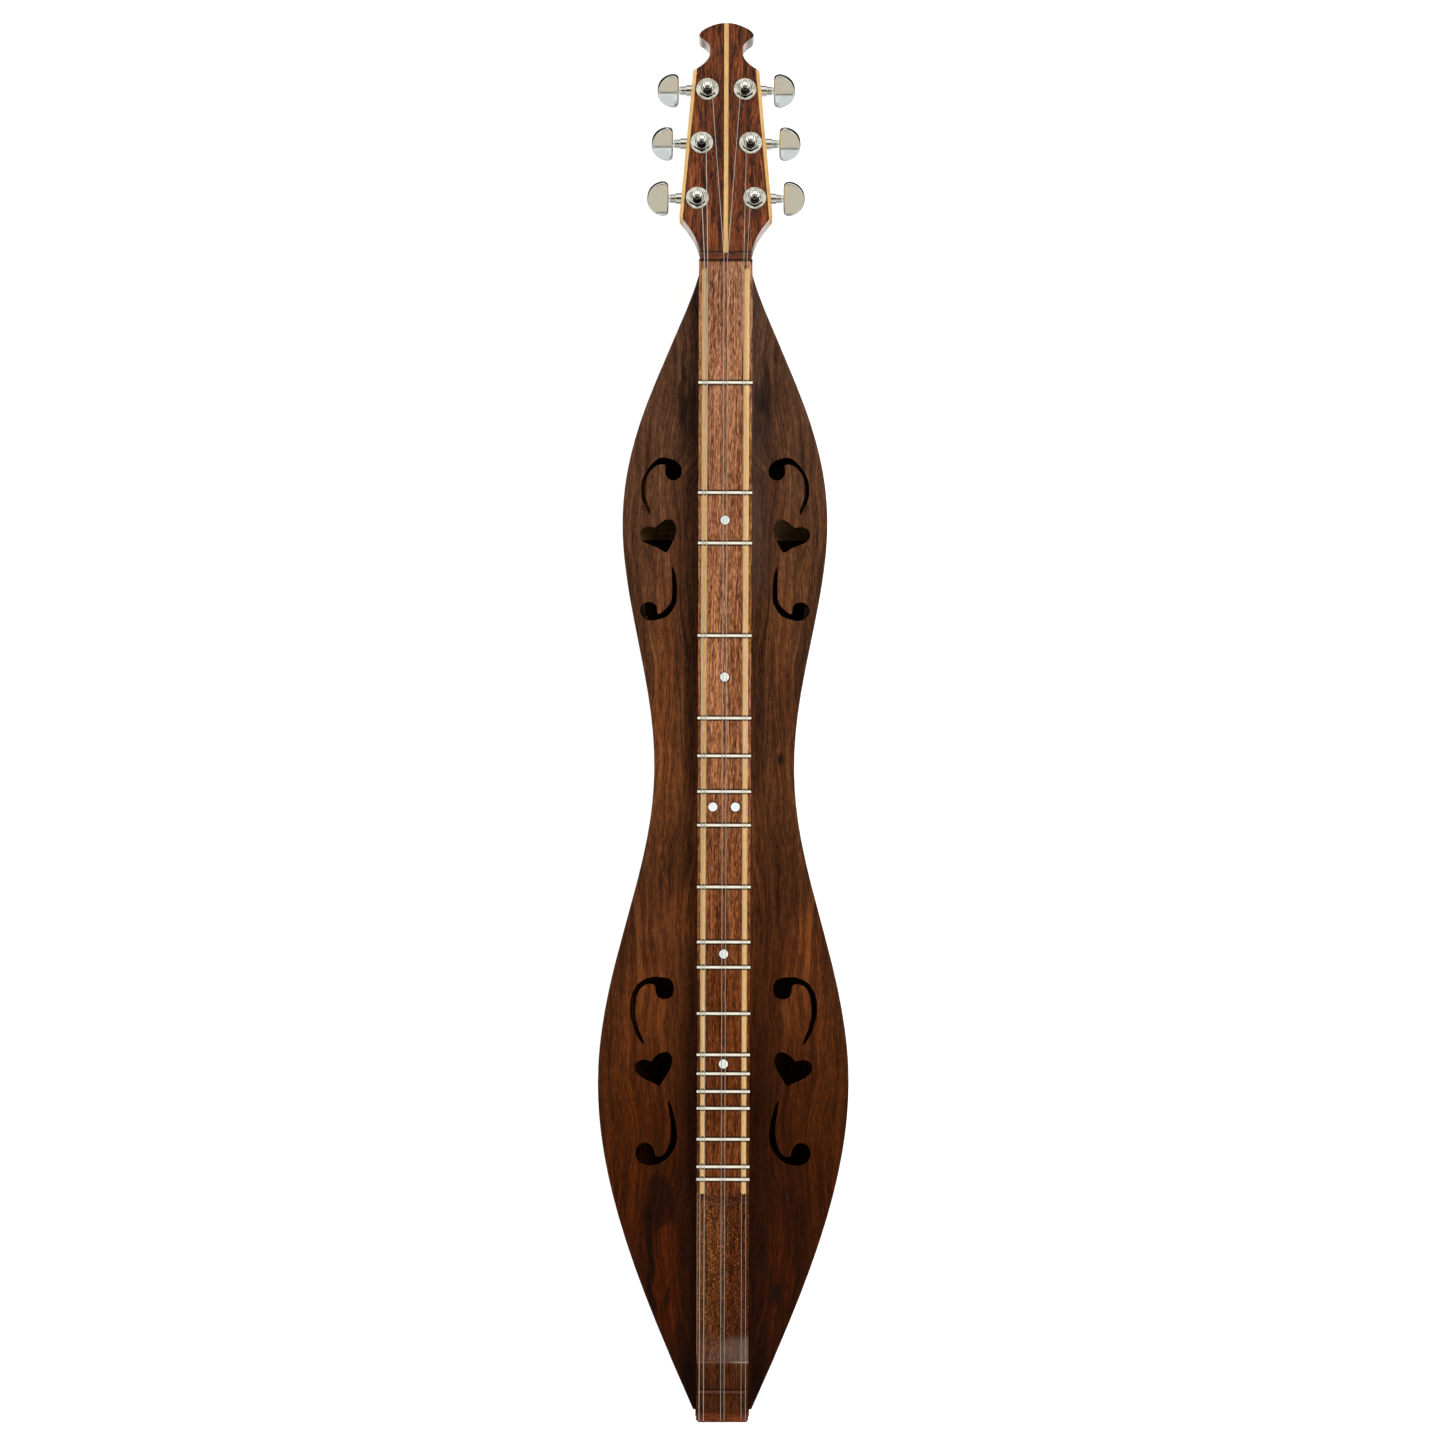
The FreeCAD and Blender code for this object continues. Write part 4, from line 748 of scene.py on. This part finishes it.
# ------------------------------------------------------------------ edge rounding
# piece, width, segments
for name, width, segments in (
        ("fretboard", 0.00035, 2), ("nut", 0.0003, 2), ("saddle", 0.0002, 2),
        ("tail_cap", 0.0004, 2), ("peghead_treble_half", 0.0006, 3),
        ("peghead_bass_half", 0.0006, 3), ("tuner_washers", 0.00015, 2),
        ("tuner_bushings", 0.00015, 2)):
    bevel = nodes[name].modifiers.new("edge_round", "BEVEL")
    bevel.width = width
    bevel.segments = segments
    bevel.limit_method = "ANGLE"
    bevel.angle_limit = math.radians(40)
    bevel.harden_normals = False

# ------------------------------------------------------------------ stage
FLOOR_SIZE = 6.0
FLOOR_GAP = 0.0005  # below the lowest point of the instrument
FLOOR_GLOW = 0.88
WORLD_GLOW = 0.10   # even light on everything that is not a mirror


def floor_paper():
    """White to the camera but duller in reflections, so that plated metal keeps dark edges."""
    m = Mat("floor_paper")
    fibres = m.noise(m.vec(m.x, m.y, 0.0), scale=0.02, detail=4.0, rough=0.6)
    m.set(Base_Color=m.mix(fibres, (0.50, 0.50, 0.50), (0.54, 0.54, 0.53)), Roughness=0.9,
          Specular_IOR_Level=0.0)
    seen = m.node("AddShader")
    m.put(seen.inputs[0], m.principled.outputs[0])
    m.put(seen.inputs[1], m.glow((1.0, 1.0, 1.0), FLOOR_GLOW))
    incoming = m.split(m.node("NewGeometry").outputs["Incoming"])
    mirrored = m.mix(m.fade(incoming[1], (0.30, 0.45)), srgb(112, 114, 108), srgb(226, 234, 236))
    m.surface(m.mix_shader(m.node("LightPath").outputs["Is Glossy Ray"],
                           seen.outputs[0], m.glow(mirrored)))
    return m


def make_floor():
    mesh = bpy.data.meshes.new("floor")
    bm = bmesh.new()
    bmesh.ops.create_grid(bm, x_segments=1, y_segments=1, size=FLOOR_SIZE)
    bm.to_mesh(mesh)
    bm.free()
    floor = bpy.data.objects.new("floor", mesh)
    scene.collection.objects.link(floor)
    floor.location.z = CAD_BOX[0][2] - FLOOR_GAP
    mesh.materials.append(floor_paper().material)


def make_world():
    """White to the camera, dim even light on surfaces, and a painted room for mirrors."""
    world = bpy.data.worlds.new("studio")
    scene.world = world
    g = Graph(world, "OutputWorld")
    x, y, z = g.split(g.node("TexCoord").outputs["Generated"])

    def calc(op, a, b=0.0):
        return g.calc(op, a, b, c=None)

    def above(value, level, soft=0.02):
        return g.fade(value, (level - soft, level + soft))

    def inverse(value):
        return calc("SUBTRACT", 1.0, value)

    def both(a, b):
        return calc("MULTIPLY", a, b)

    # beige room, warmer white on the +Y side
    room = g.mix(above(y, 0.0, 0.12), srgb(206, 199, 180), srgb(250, 247, 236))
    # pale low band on the -Y side, with a dark gap above it
    player = above(calc("MULTIPLY", y, -1.0), 0.25, 0.03)
    room = g.mix(both(player, inverse(above(z, 0.50, 0.008))), room, srgb(232, 240, 242))
    gap = both(above(z, 0.50, 0.006), inverse(above(z, 0.525, 0.006)))
    room = g.mix(both(player, gap), room, srgb(60, 60, 54))
    # dark low walls at both X sides
    walls = both(above(calc("ABSOLUTE", x), 0.66, 0.03), inverse(above(z, 0.30)))
    room = g.mix(walls, room, srgb(30, 30, 28))
    # dark zenith, hazy towards +X and +Y
    haze = both(above(y, 0.085, 0.05), above(x, 0.0, 0.03))
    room = g.mix(above(z, 0.935), room, g.mix(haze, srgb(16, 16, 16), srgb(190, 186, 180)))
    # dark below the horizon
    room = g.mix(above(calc("MULTIPLY", z, -1.0), -0.03), room, srgb(24, 24, 22))

    ray = g.node("LightPath").outputs
    lit = g.mix_shader(ray["Is Glossy Ray"], g.glow((1, 1, 1), WORLD_GLOW, kind="Background"),
                       g.glow(room, kind="Background"))
    g.surface(g.mix_shader(ray["Is Camera Ray"], lit, g.glow((1, 1, 1), kind="Background")))


make_floor()
make_world()

# ------------------------------------------------------------------ lights
LIGHT_TARGET = Vector((0, 0, 0.05))
# name, place, size, power, colour
for name, place, size, power, color in (
        ("key", (1.5, 0.9, 2.4), (1.0, 1.6), 62, (1.0, 0.985, 0.96)),
        ("fill", (-2.2, -0.6, 1.5), (1.2, 2.0), 26, (0.97, 0.985, 1.0)),
        ("low_end", (0.5, -2.3, 1.5), (1.8, 1.0), 18, (1.0, 0.97, 0.94))):
    light = bpy.data.lights.new(name, "AREA")
    light.shape = "RECTANGLE"
    light.size, light.size_y = size
    light.energy = power
    light.color = color
    lamp = bpy.data.objects.new(name, light)
    scene.collection.objects.link(lamp)
    lamp.location = place
    lamp.rotation_euler = (LIGHT_TARGET - Vector(place)).to_track_quat("-Z", "Y").to_euler()
    lamp.visible_glossy = False

# ------------------------------------------------------------------ camera
# looks straight down with +Y up in the image, turned very slightly about Z
CAMERA_TARGET = Vector((-0.0012, -0.0010, 0.066))
CAMERA_DISTANCE = 2.60
CAMERA_TWIST = math.radians(0.18)
VIEW_WIDTH = 0.923644  # width seen at the target
SENSOR_WIDTH = 36.0    # mm

lens = bpy.data.cameras.new("camera")
camera = bpy.data.objects.new("camera", lens)
scene.collection.objects.link(camera)
camera.location = CAMERA_TARGET + Vector((0, 0, CAMERA_DISTANCE))
camera.rotation_euler = (0, 0, CAMERA_TWIST)
lens.sensor_width = SENSOR_WIDTH
lens.lens = SENSOR_WIDTH * CAMERA_DISTANCE / VIEW_WIDTH
lens.clip_end = 50
scene.camera = camera
scene.view_settings.view_transform = "Standard"
scene.view_settings.look = "None"
